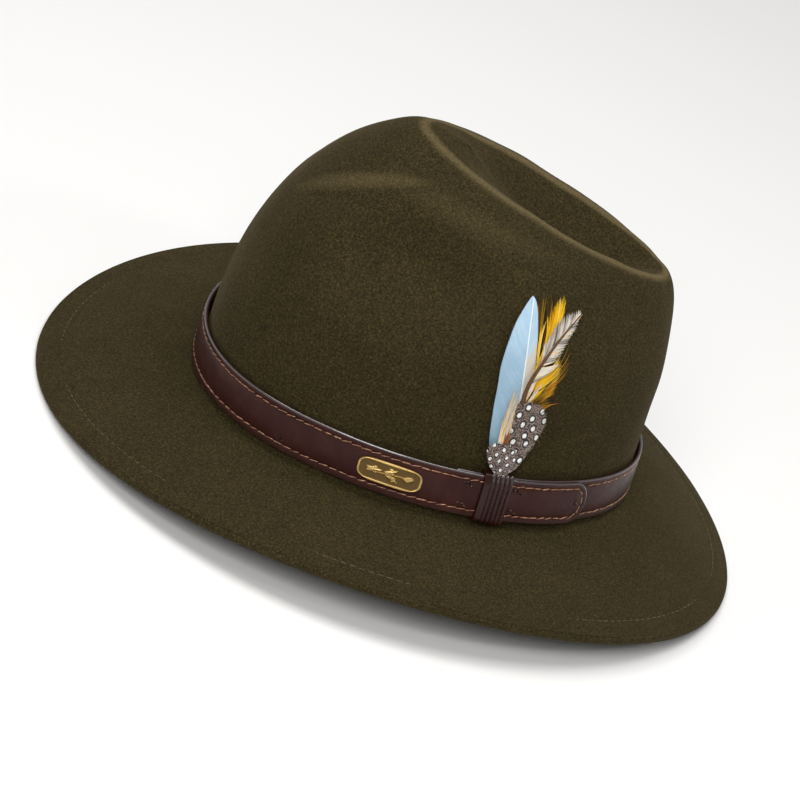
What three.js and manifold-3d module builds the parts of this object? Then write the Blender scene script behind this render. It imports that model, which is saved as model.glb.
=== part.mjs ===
// A hunting hat of thick wool felt, with a leather strap round the crown, a ribbed leather keeper,
// a small brass plaque and a bunch of feathers. Millimetres, +Z up. The front of the hat faces -Y
// and the wearer's left side +X. The origin lies on the floor under the middle of the brim.

import * as THREE from 'three';
import { mergeVertices } from 'three/addons/utils/BufferGeometryUtils.js';
import Module from 'manifold-3d';

const wasm = await Module();
wasm.setup();

// Felt sheet: one blocked piece of felt makes the crown and the brim
const feltThickness = 2.2;
const feltStepsAround = 64;

// Rows that steer the outer face of the felt, from the brim edge up the crown and down into the crease.
// A smooth curve runs past them at every angle round the hat. egg moves the widest place forward.
const feltColumns = ['name', 'frontY', 'backY', 'halfWidth', 'egg', 'zFront', 'zSide', 'zBack'];
const feltTable = [
  ['brimEdge', -171, 171, 153, -1.7, 2.2, 21.7, 2.2],
  ['brimMiddle', -135, 138, 120.5, -6, 16.2, 26.8, 19],
  ['brimFoot', -105, 110.8, 90.8, -9.5, 21.5, 29.6, 26.5],
  ['brimBreak', -101, 106.8, 86.8, -9.5, 22, 30, 27.2],
  ['wallFoot', -100.8, 106.6, 86.6, -9.5, 30, 38, 35.2],
  ['wallMiddle', -103.4, 102.4, 79, -9.7, 79.7, 81.7, 77.6],
  ['wallTop', -88, 102.2, 76.4, -4.5, 131.4, 118.2, 90.7],
  ['shoulder', -58, 94.7, 49.2, 0, 161, 144, 123.8],
  ['ridge', -44.3, 86, 26, 0, 169.2, 155.4, 138.8],
  ['creaseWall', -28.5, 72.6, 11.8, 0, 167.3, 141.4, 132.3],
  ['creaseFloor', -17, 60, 0, 0, 162.5, 135.4, 129.8],
];
const feltRows = feltTable.map((values) => (
  Object.fromEntries(feltColumns.map((column, i) => [column, values[i]]))
));
const breakRow = 3;
const lastRow = feltRows.length - 1;

// Dents pressed into both sides of the crown: the long pinch, and the fold above its front end.
// angle, front and back are degrees round the hat; row, up and down are felt rows.
const dents = [
  { angle: 60, row: 6.2, front: 33, back: 42, up: 0.75, down: 1.05, tilt: 0, depth: 12 },
  { angle: 30, row: 6.38, front: 17, back: 19, up: 0.36, down: 0.36, tilt: 0.03, depth: 1.7 },
];

// Brim edge: the felt is turned under once and sewn, and is flat where the hat rests
const hemWidth = 11.5;
const hemRoundReach = 1.8;
const hemRoundSteps = 4;
const hemRestWidth = 3.6;
const hemStep = 0.7;
const floorHeight = 0;

// Stops along the rows where the two faces of the felt have vertices
const outerStops = [
  0.6, 1.2, 1.8, 2.3, 2.6, 2.9, 3.3, 3.9, 4.5, 5, 5.35, 5.65,
  5.95, 6.25, 6.5, 6.75, 7.05, 7.5, 8, 8.4, 8.8, 9.3, 10,
];
const innerStops = [10, 9.3, 8.5, 7.8, 7.1, 6.6, 6.2, 5.8, 5.4, 4.9, 4.2, 3.4, 2.9, 2.6, 2.2, 1.5, 0.8];

// Small steps for measuring the felt's slope, in rows and in degrees
const sampleStep = 0.02;
const sampleAngle = 1;
const edgeSampleStep = 0.5;

// Strap: one leather strip round the crown, its outer end lapped over its inner end
const strapWidth = 20.5;
const strapThickness = 1.8;
const strapFoot = 2.7;
const strapEdgeBevel = 0.4;
const lapGap = 0.3;
const strapStartAngle = 100;
const strapTipAngle = 498;
const strapRiseFrom = 424;
const strapRiseTo = 450;
const strapTipDepth = 9;
const strapStepAngle = 5;
const strapTipSteps = 5;
const strapTipHalfWidth = 1;

// Distance of the strap's back off the crown wall: at the keeper, whose back lies behind it, and
// elsewhere. The strap comes close between two angles away from the keeper.
const strapStandOff = 1.9;
const strapCloseStandOff = 0.8;
const strapClosingFrom = 8;
const strapClosingTo = 30;

// Heights above the brim break through which the strap's wall line runs, and where it is searched
const wallSampleLow = 6;
const wallSampleHigh = 21;
const wallSearchBelow = 0.2;
const wallSearchAbove = 2.5;
const wallSearchRounds = 30;
const wallSampleAngle = 0.5;

// Keeper: a ribbed leather loop round both ends of the strap
const keeperAngle = 110.3;
const keeperLength = 14;
const keeperThickness = 1.2;
const keeperGap = 0.3;
const keeperCorner = 1.7;
const keeperRibs = 5;
const keeperRibHeight = 0.9;
const keeperPlainLength = 3;
const keeperPlainEase = 0.4;
const keeperGrooveShare = 0.85;
const keeperRibShares = [0, 0.25, 0.75];
const keeperCornerSteps = 3;

// Plaque: a cast brass plate with a raised rim and an oak sprig
const plaqueAngle = 84.6;
const plaqueLength = 29;
const plaqueHeight = 10.5;
const plaqueThickness = 1.5;
const plaqueRim = 0.9;
const plaqueFieldDepth = 0.6;
const plaqueBevel = 0.25;
const plaqueField = plaqueThickness - plaqueFieldDepth;
const plaqueSquareness = 0.55;
const plaqueSteps = 28;
const leafRise = 0.55;
const leafTopShare = 0.55;
const leafSteps = 15;
const leafLobes = 5;
const leafLobeDepth = 0.16;
const stemStart = -9.5;
const stemEnd = 9;
const stemWave = 0.5;
const stemWaveLength = 4;
const stemSteps = 6;
const stemHalfWidth = 0.35;

// Oak leaves and acorn of the sprig: place on the plaque, half length, half width, turn in degrees
const sprigLeaves = [
  { x: -7.2, y: 0.3, halfLength: 4.4, halfWidth: 2.1, turn: 8, lobed: true },
  { x: 0.4, y: 1.2, halfLength: 3.8, halfWidth: 1.8, turn: 28, lobed: true },
  { x: 1.6, y: -1.5, halfLength: 3.6, halfWidth: 1.6, turn: -24, lobed: true },
  { x: 8.6, y: 0.4, halfLength: 2.6, halfWidth: 1.5, turn: 12, lobed: false },
];

// Feathers: laid on the crown above the keeper, each in a layer of its own
const bunchAngle = 113;
const featherThickness = 0.8;
const featherEdge = 0.12;
const curlLength = 85;
const vaneShares = [0, 0.25, 0.5, 0.75, 1];
const lockShares = [0, 0.5, 1];
const quillTaper = 0.15;
const lockShape = [
  { along: 0, width: 0.5 },
  { along: 0.35, width: 0.9 },
  { along: 0.7, width: 1 },
  { along: 1, width: 0.25 },
];

// Search that lays a flat point of a feather on the felt: its rounds, and the most it may move
// in one round, in rows and degrees
const seatRounds = 12;
const seatStep = 0.01;
const seatMostRows = 0.5;
const seatMostDegrees = 12;

const featherBlades = [
  {
    name: 'goose_feather', lift: 2.4, curl: 3, colour: '#9fb6c6',
    rows: [
      { v: 2, left: -6.5, right: -2 },
      { v: 9, left: -11, right: -1 },
      { v: 18, left: -14.5, right: -1 },
      { v: 30, left: -17, right: -2 },
      { v: 42, left: -19, right: -4.5 },
      { v: 54, left: -21, right: -5.8 },
      { v: 63, left: -20, right: -7.2 },
      { v: 71, left: -17.8, right: -8.4 },
      { v: 78, left: -15, right: -9.4 },
      { v: 82, left: -12, right: -10.4 },
    ],
  },
  {
    name: 'guinea_feather_long', lift: 4.9, curl: 3, colour: '#6d6058',
    rows: [
      { v: 2, left: -5.5, right: -2.5 },
      { v: 8, left: -5.2, right: 3.4 },
      { v: 14, left: -5, right: 6.2 },
      { v: 21, left: -6, right: 8 },
      { v: 27.5, left: -7.8, right: 9 },
      { v: 33, left: -8.9, right: 7 },
      { v: 37.2, left: -6.5, right: -0.5 },
    ],
  },
  {
    name: 'guinea_feather_short', lift: 6.2, curl: 3, colour: '#6d6058',
    rows: [
      { v: 2, left: -9.3, right: -2.4 },
      { v: 6, left: -12.6, right: -0.6 },
      { v: 10.5, left: -14.9, right: 0 },
      { v: 14, left: -15.2, right: -1.6 },
      { v: 17, left: -11.5, right: -6 },
    ],
  },
];

// Hackles: a quill with locks fused to it. Each lock runs from its root to its tip.
const hackles = [
  {
    name: 'yellow_hackle', lift: 1.1, curl: 3, colour: '#d9a414',
    quill: [{ u: -4, v: 2 }, { u: 0.6, v: 24.5 }, { u: -0.7, v: 42.5 }, { u: -2.8, v: 61 }],
    quillHalfWidth: 1, lockHalfWidth: 2,
    locks: [
      { rootU: -2.5, rootV: 55, tipU: -7.9, tipV: 82 },
      { rootU: -2.5, rootV: 56, tipU: -4.3, tipV: 83.5 },
      { rootU: -2.5, rootV: 57, tipU: -0.1, tipV: 84.5 },
      { rootU: -2.5, rootV: 56, tipU: 4.3, tipV: 84.3 },
      { rootU: -0.6, rootV: 36.6, tipU: 7.4, tipV: 60 },
      { rootU: -0.4, rootV: 35.6, tipU: 11.8, tipV: 64 },
      { rootU: 0.1, rootV: 31.6, tipU: 13.9, tipV: 54.8 },
      { rootU: 0.3, rootV: 28.6, tipU: 14.7, tipV: 45.6 },
      { rootU: 0.6, rootV: 24.5, tipU: 14.5, tipV: 36.5 },
    ],
  },
  {
    name: 'striped_hackle', lift: 3.7, curl: 3, colour: '#cfc4ae',
    quill: [
      { u: -4.2, v: 2 },
      { u: -7.1, v: 35.6 },
      { u: -5.5, v: 55 },
      { u: 2.7, v: 69.1 },
      { u: 11.9, v: 80.4 },
    ],
    quillHalfWidth: 0.9, lockHalfWidth: 1.7,
    locks: [
      { rootU: -4.8, rootV: 56.5, tipU: -2, tipV: 70 },
      { rootU: -2.4, rootV: 60.5, tipU: 0.1, tipV: 75.3 },
      { rootU: 0.2, rootV: 65.1, tipU: 3.8, tipV: 78.3 },
      { rootU: 3.3, rootV: 69.7, tipU: 7.3, tipV: 80.4 },
      { rootU: 3.1, rootV: 69.5, tipU: 11.5, tipV: 76.3 },
      { rootU: -0.6, rootV: 64.1, tipU: 9.7, tipV: 71.2 },
      { rootU: -3, rootV: 59.5, tipU: 7.2, tipV: 65.7 },
      { rootU: -5.3, rootV: 54.9, tipU: 4, tipV: 59.6 },
      { rootU: -6.1, rootV: 47.8, tipU: 1.3, tipV: 52.8 },
    ],
  },
];

// Finishes of the pieces
const feltFinish = { color: '#463d22', roughness: 0.95, metalness: 0 };
const leatherFinish = { color: '#3d2220', roughness: 0.42, metalness: 0 };
const brassFinish = { color: '#8f7a45', roughness: 0.4, metalness: 1 };
const featherRoughness = 0.7;

const radians = THREE.MathUtils.degToRad;
const mergeDistance = 0.001;

// Closed body helpers

// Joins vertices that coincide, drops empty triangles and turns the faces outwards.
function closeBody(positions, triangles) {
  const geometry = new THREE.BufferGeometry();
  geometry.setAttribute('position', new THREE.Float32BufferAttribute(positions, 3));
  geometry.setIndex(triangles);
  const merged = mergeVertices(geometry, mergeDistance);
  const place = merged.getAttribute('position');
  const index = merged.getIndex();
  const kept = [];
  const a = new THREE.Vector3();
  const b = new THREE.Vector3();
  const c = new THREE.Vector3();
  let volume = 0;
  for (let i = 0; i < index.count; i += 3) {
    const corner = [index.getX(i), index.getX(i + 1), index.getX(i + 2)];
    if (new Set(corner).size === 3) {
      kept.push(...corner);
      a.fromBufferAttribute(place, corner[0]);
      b.fromBufferAttribute(place, corner[1]);
      c.fromBufferAttribute(place, corner[2]);
      volume += a.dot(b.cross(c));
    }
  }
  merged.setIndex(volume < 0 ? kept.reverse() : kept);
  merged.computeVertexNormals();
  return merged;
}

// Skins a row of sections, each a list of points. A section may be a closed ring or an open line.
function skin(sections, { ringSections, ringOfSections, capped }) {
  const positions = [];
  const triangles = [];
  const count = sections[0].length;
  for (const section of sections) {
    for (const point of section) {
      positions.push(point.x, point.y, point.z);
    }
  }
  const sectionSpans = ringOfSections ? sections.length : sections.length - 1;
  const pointSpans = ringSections ? count : count - 1;
  for (let i = 0; i < sectionSpans; i += 1) {
    const here = i * count;
    const next = ((i + 1) % sections.length) * count;
    for (let j = 0; j < pointSpans; j += 1) {
      const k = (j + 1) % count;
      triangles.push(here + j, here + k, next + k);
      triangles.push(here + j, next + k, next + j);
    }
  }
  if (capped) {
    const last = (sections.length - 1) * count;
    for (let j = 1; j < count - 1; j += 1) {
      triangles.push(0, j + 1, j);
      triangles.push(last, last + j, last + j + 1);
    }
  }
  return closeBody(positions, triangles);
}

// Fuses overlapping closed bodies into one.
function fuse(geometries) {
  const solids = geometries.map((geometry) => new wasm.Manifold(new wasm.Mesh({
    numProp: 3,
    vertProperties: new Float32Array(geometry.getAttribute('position').array),
    triVerts: new Uint32Array(geometry.getIndex().array),
  })));
  const whole = solids.slice(1).reduce((sum, solid) => sum.add(solid), solids[0]);
  const mesh = whole.getMesh();
  return closeBody(Array.from(mesh.vertProperties), Array.from(mesh.triVerts));
}

function pieceMesh(name, geometry, finish) {
  const mesh = new THREE.Mesh(geometry, new THREE.MeshStandardMaterial(finish));
  mesh.name = name;
  return mesh;
}

// Felt surface

// Point of one steering row at an angle in degrees from the front.
function rowPoint(row, degrees) {
  const angle = radians(degrees);
  const middle = (row.frontY + row.backY) / 2;
  const reach = (row.backY - row.frontY) / 2;
  const tilt = (row.zFront - row.zBack) / 2;
  const bow = ((row.zFront + row.zBack) / 2 - row.zSide) / 2;
  return new THREE.Vector3(
    row.halfWidth * Math.sin(angle),
    middle - reach * Math.cos(angle) + row.egg * Math.sin(angle) ** 2,
    row.zSide + bow + tilt * Math.cos(angle) + bow * Math.cos(2 * angle),
  );
}

// Outer face without dents: a cubic B-spline steered by the rows. It starts at the brim edge
// and ends level across the crease, where its two sides meet.
function smoothFelt(stop, degrees) {
  const line = feltRows.map((row) => rowPoint(row, degrees));
  const before = line[0].clone().multiplyScalar(2).sub(line[1]);
  const after = line[lastRow - 1].clone();
  after.x = -after.x;
  const steer = [before, ...line, after];
  const span = Math.min(Math.floor(stop), lastRow - 1);
  const t = stop - span;
  const weights = [
    (1 - t) ** 3,
    3 * t ** 3 - 6 * t ** 2 + 4,
    -3 * t ** 3 + 3 * t ** 2 + 3 * t + 1,
    t ** 3,
  ];
  const point = new THREE.Vector3();
  weights.forEach((weight, i) => point.addScaledVector(steer[span + i], weight / 6));
  return point;
}

// Unit normal of a surface, pointing away from the head.
function normalOf(surface, stop, degrees) {
  const low = Math.max(stop - sampleStep, 0);
  const high = Math.min(stop + sampleStep, lastRow - sampleStep);
  const safeLow = Math.min(low, high - sampleStep);
  const around = surface(high, degrees + sampleAngle).sub(surface(high, degrees - sampleAngle));
  const upward = surface(high, degrees).sub(surface(safeLow, degrees));
  return around.cross(upward).normalize();
}

// How deep the dents press the felt in at a place.
function dentDepth(stop, degrees) {
  const turned = Math.abs(THREE.MathUtils.euclideanModulo(degrees + 180, 360) - 180);
  let depth = 0;
  for (const dent of dents) {
    const along = turned - dent.angle;
    const across = stop - dent.row - dent.tilt * along;
    const alongShare = along / (along < 0 ? dent.front : dent.back);
    const acrossShare = across / (across > 0 ? dent.up : dent.down);
    const inside = Math.max(0, 1 - alongShare ** 2 - acrossShare ** 2);
    depth += dent.depth * inside ** 2;
  }
  return depth;
}

function feltPoint(stop, degrees) {
  const depth = dentDepth(stop, degrees);
  const point = smoothFelt(stop, degrees);
  return depth > 0 ? point.addScaledVector(normalOf(smoothFelt, stop, degrees), -depth) : point;
}

// Row stop a given distance in from the brim edge.
function stopInFromEdge(distance, degrees) {
  const edge = smoothFelt(0, degrees);
  const probe = smoothFelt(edgeSampleStep, degrees);
  return edgeSampleStep * distance / edge.distanceTo(probe);
}

// Point under the outer face by a depth, no lower than the floor.
function underFelt(stop, degrees, depth) {
  const point = feltPoint(stop, degrees).addScaledVector(normalOf(feltPoint, stop, degrees), -depth);
  point.z = Math.max(point.z, floorHeight);
  return point;
}

// One cut through the felt at an angle: down the outer face from the crease to the brim edge,
// round the turned hem, and back up the inner face.
function feltSection(degrees) {
  const outer = [...outerStops].reverse().map((stop) => feltPoint(stop, degrees));
  const hem = [];
  for (let k = 0; k <= hemRoundSteps; k += 1) {
    const turn = Math.PI * (0.5 - k / hemRoundSteps);
    const inset = hemRoundReach * (1 - Math.cos(turn));
    const depth = feltThickness * (1 - Math.sin(turn));
    hem.push(underFelt(stopInFromEdge(inset, degrees), degrees, depth));
  }
  hem.push(underFelt(stopInFromEdge(hemRestWidth, degrees), degrees, 2 * feltThickness));
  hem.push(underFelt(stopInFromEdge(hemWidth, degrees), degrees, 2 * feltThickness));
  hem.push(underFelt(stopInFromEdge(hemWidth + hemStep, degrees), degrees, feltThickness));
  const inner = [...innerStops].reverse().map((stop) => {
    const point = underFelt(stop, degrees, feltThickness);
    if (stop === lastRow) {
      point.x = 0;
    }
    return point;
  });
  return [...outer, ...hem, ...inner];
}

function feltBody() {
  const sections = [];
  for (let i = 0; i < feltStepsAround; i += 1) {
    sections.push(feltSection(360 * i / feltStepsAround));
  }
  const geometry = skin(sections, { ringSections: false, ringOfSections: true, capped: false });
  return pieceMesh('felt_body', geometry, feltFinish);
}

// Strap

// Row stop where the crown wall stands a given height above the brim break.
function wallStop(degrees, height) {
  const target = rowPoint(feltRows[breakRow], degrees).z + height;
  let low = breakRow - wallSearchBelow;
  let high = breakRow + wallSearchAbove;
  for (let i = 0; i < wallSearchRounds; i += 1) {
    const middle = (low + high) / 2;
    if (smoothFelt(middle, degrees).z < target) {
      low = middle;
    } else {
      high = middle;
    }
  }
  return (low + high) / 2;
}

function wallLow(degrees) {
  return smoothFelt(wallStop(degrees, wallSampleLow), degrees);
}

// Point beside the crown wall: v is the height up the wall from the brim break, w the distance off it.
function bandPoint(degrees, v, w) {
  const low = wallLow(degrees);
  const up = smoothFelt(wallStop(degrees, wallSampleHigh), degrees).sub(low).normalize();
  const along = wallLow(degrees + wallSampleAngle).sub(wallLow(degrees - wallSampleAngle)).normalize();
  const out = along.clone().cross(up).normalize();
  return low.addScaledVector(up, v - wallSampleLow / up.z).addScaledVector(out, w);
}

// Angle that lies a given length further round the strap than a start angle.
function angleAfter(degrees, length, w) {
  const middle = strapFoot + strapWidth / 2;
  const ahead = bandPoint(degrees + wallSampleAngle, middle, w);
  const behind = bandPoint(degrees - wallSampleAngle, middle, w);
  return degrees + 2 * wallSampleAngle * length / ahead.distanceTo(behind);
}

// Distance of the strap's back off the wall. Its last stretch climbs over its own first end.
function strapOffset(degrees) {
  const fromKeeper = Math.abs(THREE.MathUtils.euclideanModulo(degrees - keeperAngle + 180, 360) - 180);
  const closing = THREE.MathUtils.smoothstep(fromKeeper, strapClosingFrom, strapClosingTo);
  const standOff = THREE.MathUtils.lerp(strapStandOff, strapCloseStandOff, closing);
  const climb = THREE.MathUtils.smoothstep(degrees, strapRiseFrom, strapRiseTo);
  return standOff + climb * (strapThickness + lapGap);
}

function strapSection(degrees, halfWidth) {
  const middle = strapFoot + strapWidth / 2;
  const bottom = middle - halfWidth;
  const top = middle + halfWidth;
  const bevel = Math.min(strapEdgeBevel, halfWidth / 2);
  const back = strapOffset(degrees);
  const front = back + strapThickness;
  return [
    bandPoint(degrees, bottom, back),
    bandPoint(degrees, top, back),
    bandPoint(degrees, top, front - bevel),
    bandPoint(degrees, top - bevel, front),
    bandPoint(degrees, bottom + bevel, front),
    bandPoint(degrees, bottom, front - bevel),
  ];
}

function bandStrap() {
  const sections = [];
  const straightEnd = angleAfter(strapTipAngle, -strapTipDepth, strapStandOff);
  const lastStep = Math.round((straightEnd - strapStartAngle) / strapStepAngle);
  for (let step = 0; step < lastStep; step += 1) {
    sections.push(strapSection(strapStartAngle + step * strapStepAngle, strapWidth / 2));
  }
  for (let k = 0; k <= strapTipSteps; k += 1) {
    const turn = Math.PI / 2 * k / strapTipSteps;
    const degrees = angleAfter(straightEnd, strapTipDepth * Math.sin(turn), strapStandOff);
    const halfWidth = Math.max(strapWidth / 2 * Math.cos(turn), strapTipHalfWidth);
    sections.push(strapSection(degrees, halfWidth));
  }
  const geometry = skin(sections, { ringSections: true, ringOfSections: false, capped: true });
  return pieceMesh('band_strap', geometry, leatherFinish);
}

// Keeper

// Inner outline of the loop in the plane across the strap, with the outward direction at each point.
function keeperLoop() {
  const back = strapStandOff - keeperGap;
  const front = strapStandOff + 2 * strapThickness + lapGap + keeperGap;
  const low = strapFoot - keeperGap;
  const high = strapFoot + strapWidth + keeperGap;
  const round = keeperCorner - keeperThickness;
  const corners = [
    { v: low + round, w: front - round, start: -90 },
    { v: high - round, w: front - round, start: 0 },
    { v: high - round, w: back + round, start: 90 },
    { v: low + round, w: back + round, start: 180 },
  ];
  const outline = [];
  for (const corner of corners) {
    for (let k = 0; k <= keeperCornerSteps; k += 1) {
      const turn = radians(corner.start + 90 * k / keeperCornerSteps);
      const outV = Math.sin(turn);
      const outW = Math.cos(turn);
      outline.push({ v: corner.v + round * outV, w: corner.w + round * outW, outV, outW });
    }
  }
  return outline;
}

// Thickness of the keeper along its length: a plain strip first, then rounded ribs.
function keeperProfile() {
  const profile = [{ x: -keeperLength / 2, height: keeperThickness }];
  const ribLength = (keeperLength - keeperPlainLength) / keeperRibs;
  const ribStart = keeperPlainLength - keeperLength / 2;
  const groove = keeperThickness * keeperGrooveShare;
  profile.push({ x: ribStart - keeperPlainEase, height: keeperThickness });
  for (let rib = 0; rib < keeperRibs; rib += 1) {
    for (const share of keeperRibShares) {
      const height = share === 0 ? groove : keeperThickness + keeperRibHeight;
      profile.push({ x: ribStart + (rib + share) * ribLength, height });
    }
  }
  profile.push({ x: keeperLength / 2, height: groove });
  return profile;
}

function keeper() {
  const profile = keeperProfile();
  const ends = [profile[profile.length - 1].x, 0, profile[0].x];
  const sections = keeperLoop().map((place) => {
    const ribShare = THREE.MathUtils.clamp(0.5 + place.outW, 0, 1);
    const points = profile.map(({ x, height }) => {
      const flat = Math.min(height, keeperThickness);
      const thick = flat + ribShare * (height - flat);
      return { x, v: place.v + place.outV * thick, w: place.w + place.outW * thick };
    });
    const back = ends.map((x) => ({ x, v: place.v, w: place.w }));
    return [...points, ...back].map(({ x, v, w }) => {
      const degrees = angleAfter(keeperAngle, x, strapStandOff + strapThickness);
      return bandPoint(degrees, v, w);
    });
  });
  const geometry = skin(sections, { ringSections: true, ringOfSections: true, capped: false });
  return pieceMesh('keeper_loop', geometry, leatherFinish);
}

// Plaque

// Maps a point of the flat plaque onto the outside of the strap.
function onStrap(x, y, z) {
  const degrees = angleAfter(plaqueAngle, x, strapStandOff + strapThickness);
  const face = strapOffset(degrees + 360) + strapThickness + lapGap;
  return bandPoint(degrees, strapFoot + strapWidth / 2 + y, face + z);
}

// Outline of the plaque: a rounded oblong, moved in by an inset.
function plaqueRing(inset, z) {
  const ring = [];
  for (let k = 0; k < plaqueSteps; k += 1) {
    const turn = 2 * Math.PI * (k + 0.5) / plaqueSteps;
    const x = Math.sign(Math.cos(turn)) * Math.abs(Math.cos(turn)) ** plaqueSquareness;
    const y = Math.sign(Math.sin(turn)) * Math.abs(Math.sin(turn)) ** plaqueSquareness;
    ring.push(onStrap((plaqueLength / 2 - inset) * x, (plaqueHeight / 2 - inset) * y, z));
  }
  return ring;
}

function middlePoint(z) {
  return Array.from({ length: plaqueSteps }, () => onStrap(0, 0, z));
}

function plaquePlate() {
  const halfway = plaqueHeight / 4;
  return skin([
    middlePoint(0),
    plaqueRing(halfway, 0),
    plaqueRing(0, 0),
    plaqueRing(0, plaqueThickness - plaqueBevel),
    plaqueRing(plaqueBevel, plaqueThickness),
    plaqueRing(plaqueRim, plaqueThickness),
    plaqueRing(plaqueRim + plaqueBevel, plaqueField),
    plaqueRing(halfway, plaqueField),
    middlePoint(plaqueField),
  ], { ringSections: true, ringOfSections: false, capped: false });
}

// One raised leaf, or an acorn when it isn't lobed.
function sprigLeaf(leaf) {
  const turn = radians(leaf.turn);
  const ring = (share, z) => Array.from({ length: leafSteps }, (_, k) => {
    const angle = 2 * Math.PI * k / leafSteps;
    const lobes = leaf.lobed ? 1 - leafLobeDepth * (1 + Math.cos(leafLobes * angle + Math.PI)) : 1;
    const alongLeaf = leaf.halfLength * Math.cos(angle) * lobes * share;
    const acrossLeaf = leaf.halfWidth * Math.sin(angle) * lobes * share;
    const x = leaf.x + alongLeaf * Math.cos(turn) - acrossLeaf * Math.sin(turn);
    const y = leaf.y + alongLeaf * Math.sin(turn) + acrossLeaf * Math.cos(turn);
    return onStrap(x, y, z);
  });
  return skin([
    ring(0, plaqueField / 2),
    ring(1, plaqueField / 2),
    ring(1, plaqueField + leafRise / 2),
    ring(leafTopShare, plaqueField + leafRise),
    ring(0, plaqueField + leafRise),
  ], { ringSections: true, ringOfSections: false, capped: false });
}

// The sprig's stem, a low bar through the leaves.
function sprigStem() {
  const base = plaqueField / 2;
  const top = plaqueField + leafRise / 2;
  const sections = [];
  for (let k = 0; k <= stemSteps; k += 1) {
    const x = THREE.MathUtils.lerp(stemStart, stemEnd, k / stemSteps);
    const y = stemWave * Math.sin(x / stemWaveLength);
    sections.push([
      onStrap(x, y - stemHalfWidth, base),
      onStrap(x, y + stemHalfWidth, base),
      onStrap(x, y + stemHalfWidth, top),
      onStrap(x, y - stemHalfWidth, top),
    ]);
  }
  return skin(sections, { ringSections: true, ringOfSections: false, capped: true });
}

function badge() {
  const geometry = fuse([plaquePlate(), sprigStem(), ...sprigLeaves.map(sprigLeaf)]);
  return pieceMesh('badge', geometry, brassFinish);
}

// Feathers

const bunchStop = wallStop(bunchAngle, strapFoot + strapWidth);
const bunchOrigin = smoothFelt(bunchStop, bunchAngle);
const bunchOut = normalOf(smoothFelt, bunchStop, bunchAngle);
const bunchAlong = smoothFelt(bunchStop, bunchAngle + sampleAngle)
  .sub(smoothFelt(bunchStop, bunchAngle - sampleAngle))
  .setZ(0)
  .normalize();
const bunchUp = bunchOut.clone().cross(bunchAlong).normalize();
bunchAlong.copy(bunchUp).cross(bunchOut);

// Point of a feather. The feather is laid out flat, u along the strap and v up the crown from the
// strap's upper edge, and dropped onto the felt, lifted off it by a distance.
function onCrown(u, v, lift) {
  const flat = (point) => {
    const arm = point.clone().sub(bunchOrigin);
    return { u: arm.dot(bunchAlong), v: arm.dot(bunchUp), w: arm.dot(bunchOut) };
  };
  let stop = bunchStop;
  let degrees = bunchAngle;
  for (let i = 0; i < seatRounds; i += 1) {
    const here = flat(feltPoint(stop, degrees));
    const higher = flat(feltPoint(stop + seatStep, degrees));
    const further = flat(feltPoint(stop, degrees + sampleAngle));
    const a = (higher.u - here.u) / seatStep;
    const b = (further.u - here.u) / sampleAngle;
    const c = (higher.v - here.v) / seatStep;
    const d = (further.v - here.v) / sampleAngle;
    const det = a * d - b * c;
    const du = u - here.u;
    const dv = v - here.v;
    stop += THREE.MathUtils.clamp((du * d - b * dv) / det, -seatMostRows, seatMostRows);
    degrees += THREE.MathUtils.clamp((a * dv - c * du) / det, -seatMostDegrees, seatMostDegrees);
  }
  const seat = flat(feltPoint(stop, degrees));
  return bunchOrigin.clone()
    .addScaledVector(bunchAlong, u)
    .addScaledVector(bunchUp, v)
    .addScaledVector(bunchOut, seat.w + lift);
}

// Lift of a feather at a height: its tip curls away from the felt.
function liftAt(feather, v) {
  return feather.lift + feather.curl * (v / curlLength) ** 2;
}

// Section of a vane between two edges, thickest at the shaft.
function vaneSection(feather, leftU, leftV, rightU, rightV, shares) {
  const half = (share) => {
    const nearShaft = 1 - Math.abs(2 * share - 1);
    return THREE.MathUtils.lerp(featherEdge, featherThickness / 2, nearShaft);
  };
  const point = (share, side) => {
    const u = THREE.MathUtils.lerp(leftU, rightU, share);
    const v = THREE.MathUtils.lerp(leftV, rightV, share);
    return onCrown(u, v, liftAt(feather, v) + side * half(share));
  };
  const front = shares.map((share) => point(share, 1));
  const back = [...shares].reverse().map((share) => point(share, -1));
  return [...front, ...back];
}

function featherMesh(feather, geometry) {
  return pieceMesh(feather.name, geometry, {
    color: feather.colour,
    roughness: featherRoughness,
    metalness: 0,
  });
}

function bladeFeather(feather) {
  const sections = feather.rows.map(({ v, left, right }) => (
    vaneSection(feather, left, v, right, v, vaneShares)
  ));
  const geometry = skin(sections, { ringSections: true, ringOfSections: false, capped: true });
  return featherMesh(feather, geometry);
}

// A strip along a line of points, with a half width at each.
function stripAlong(feather, points, halfWidths) {
  const sections = points.map((point, i) => {
    const before = points[Math.max(i - 1, 0)];
    const after = points[Math.min(i + 1, points.length - 1)];
    const lengthU = after.u - before.u;
    const lengthV = after.v - before.v;
    const length = Math.hypot(lengthU, lengthV);
    const sideU = lengthV / length * halfWidths[i];
    const sideV = -lengthU / length * halfWidths[i];
    const left = { u: point.u - sideU, v: point.v - sideV };
    const right = { u: point.u + sideU, v: point.v + sideV };
    return vaneSection(feather, left.u, left.v, right.u, right.v, lockShares);
  });
  return skin(sections, { ringSections: true, ringOfSections: false, capped: true });
}

// One lock of a hackle: narrow at its root, widest past the middle, pointed at its tip.
function hackleLock(feather, lock) {
  const widths = lockShape.map(({ width }) => width * feather.lockHalfWidth);
  const points = lockShape.map(({ along }) => ({
    u: THREE.MathUtils.lerp(lock.rootU, lock.tipU, along),
    v: THREE.MathUtils.lerp(lock.rootV, lock.tipV, along),
  }));
  return stripAlong(feather, points, widths);
}

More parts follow.
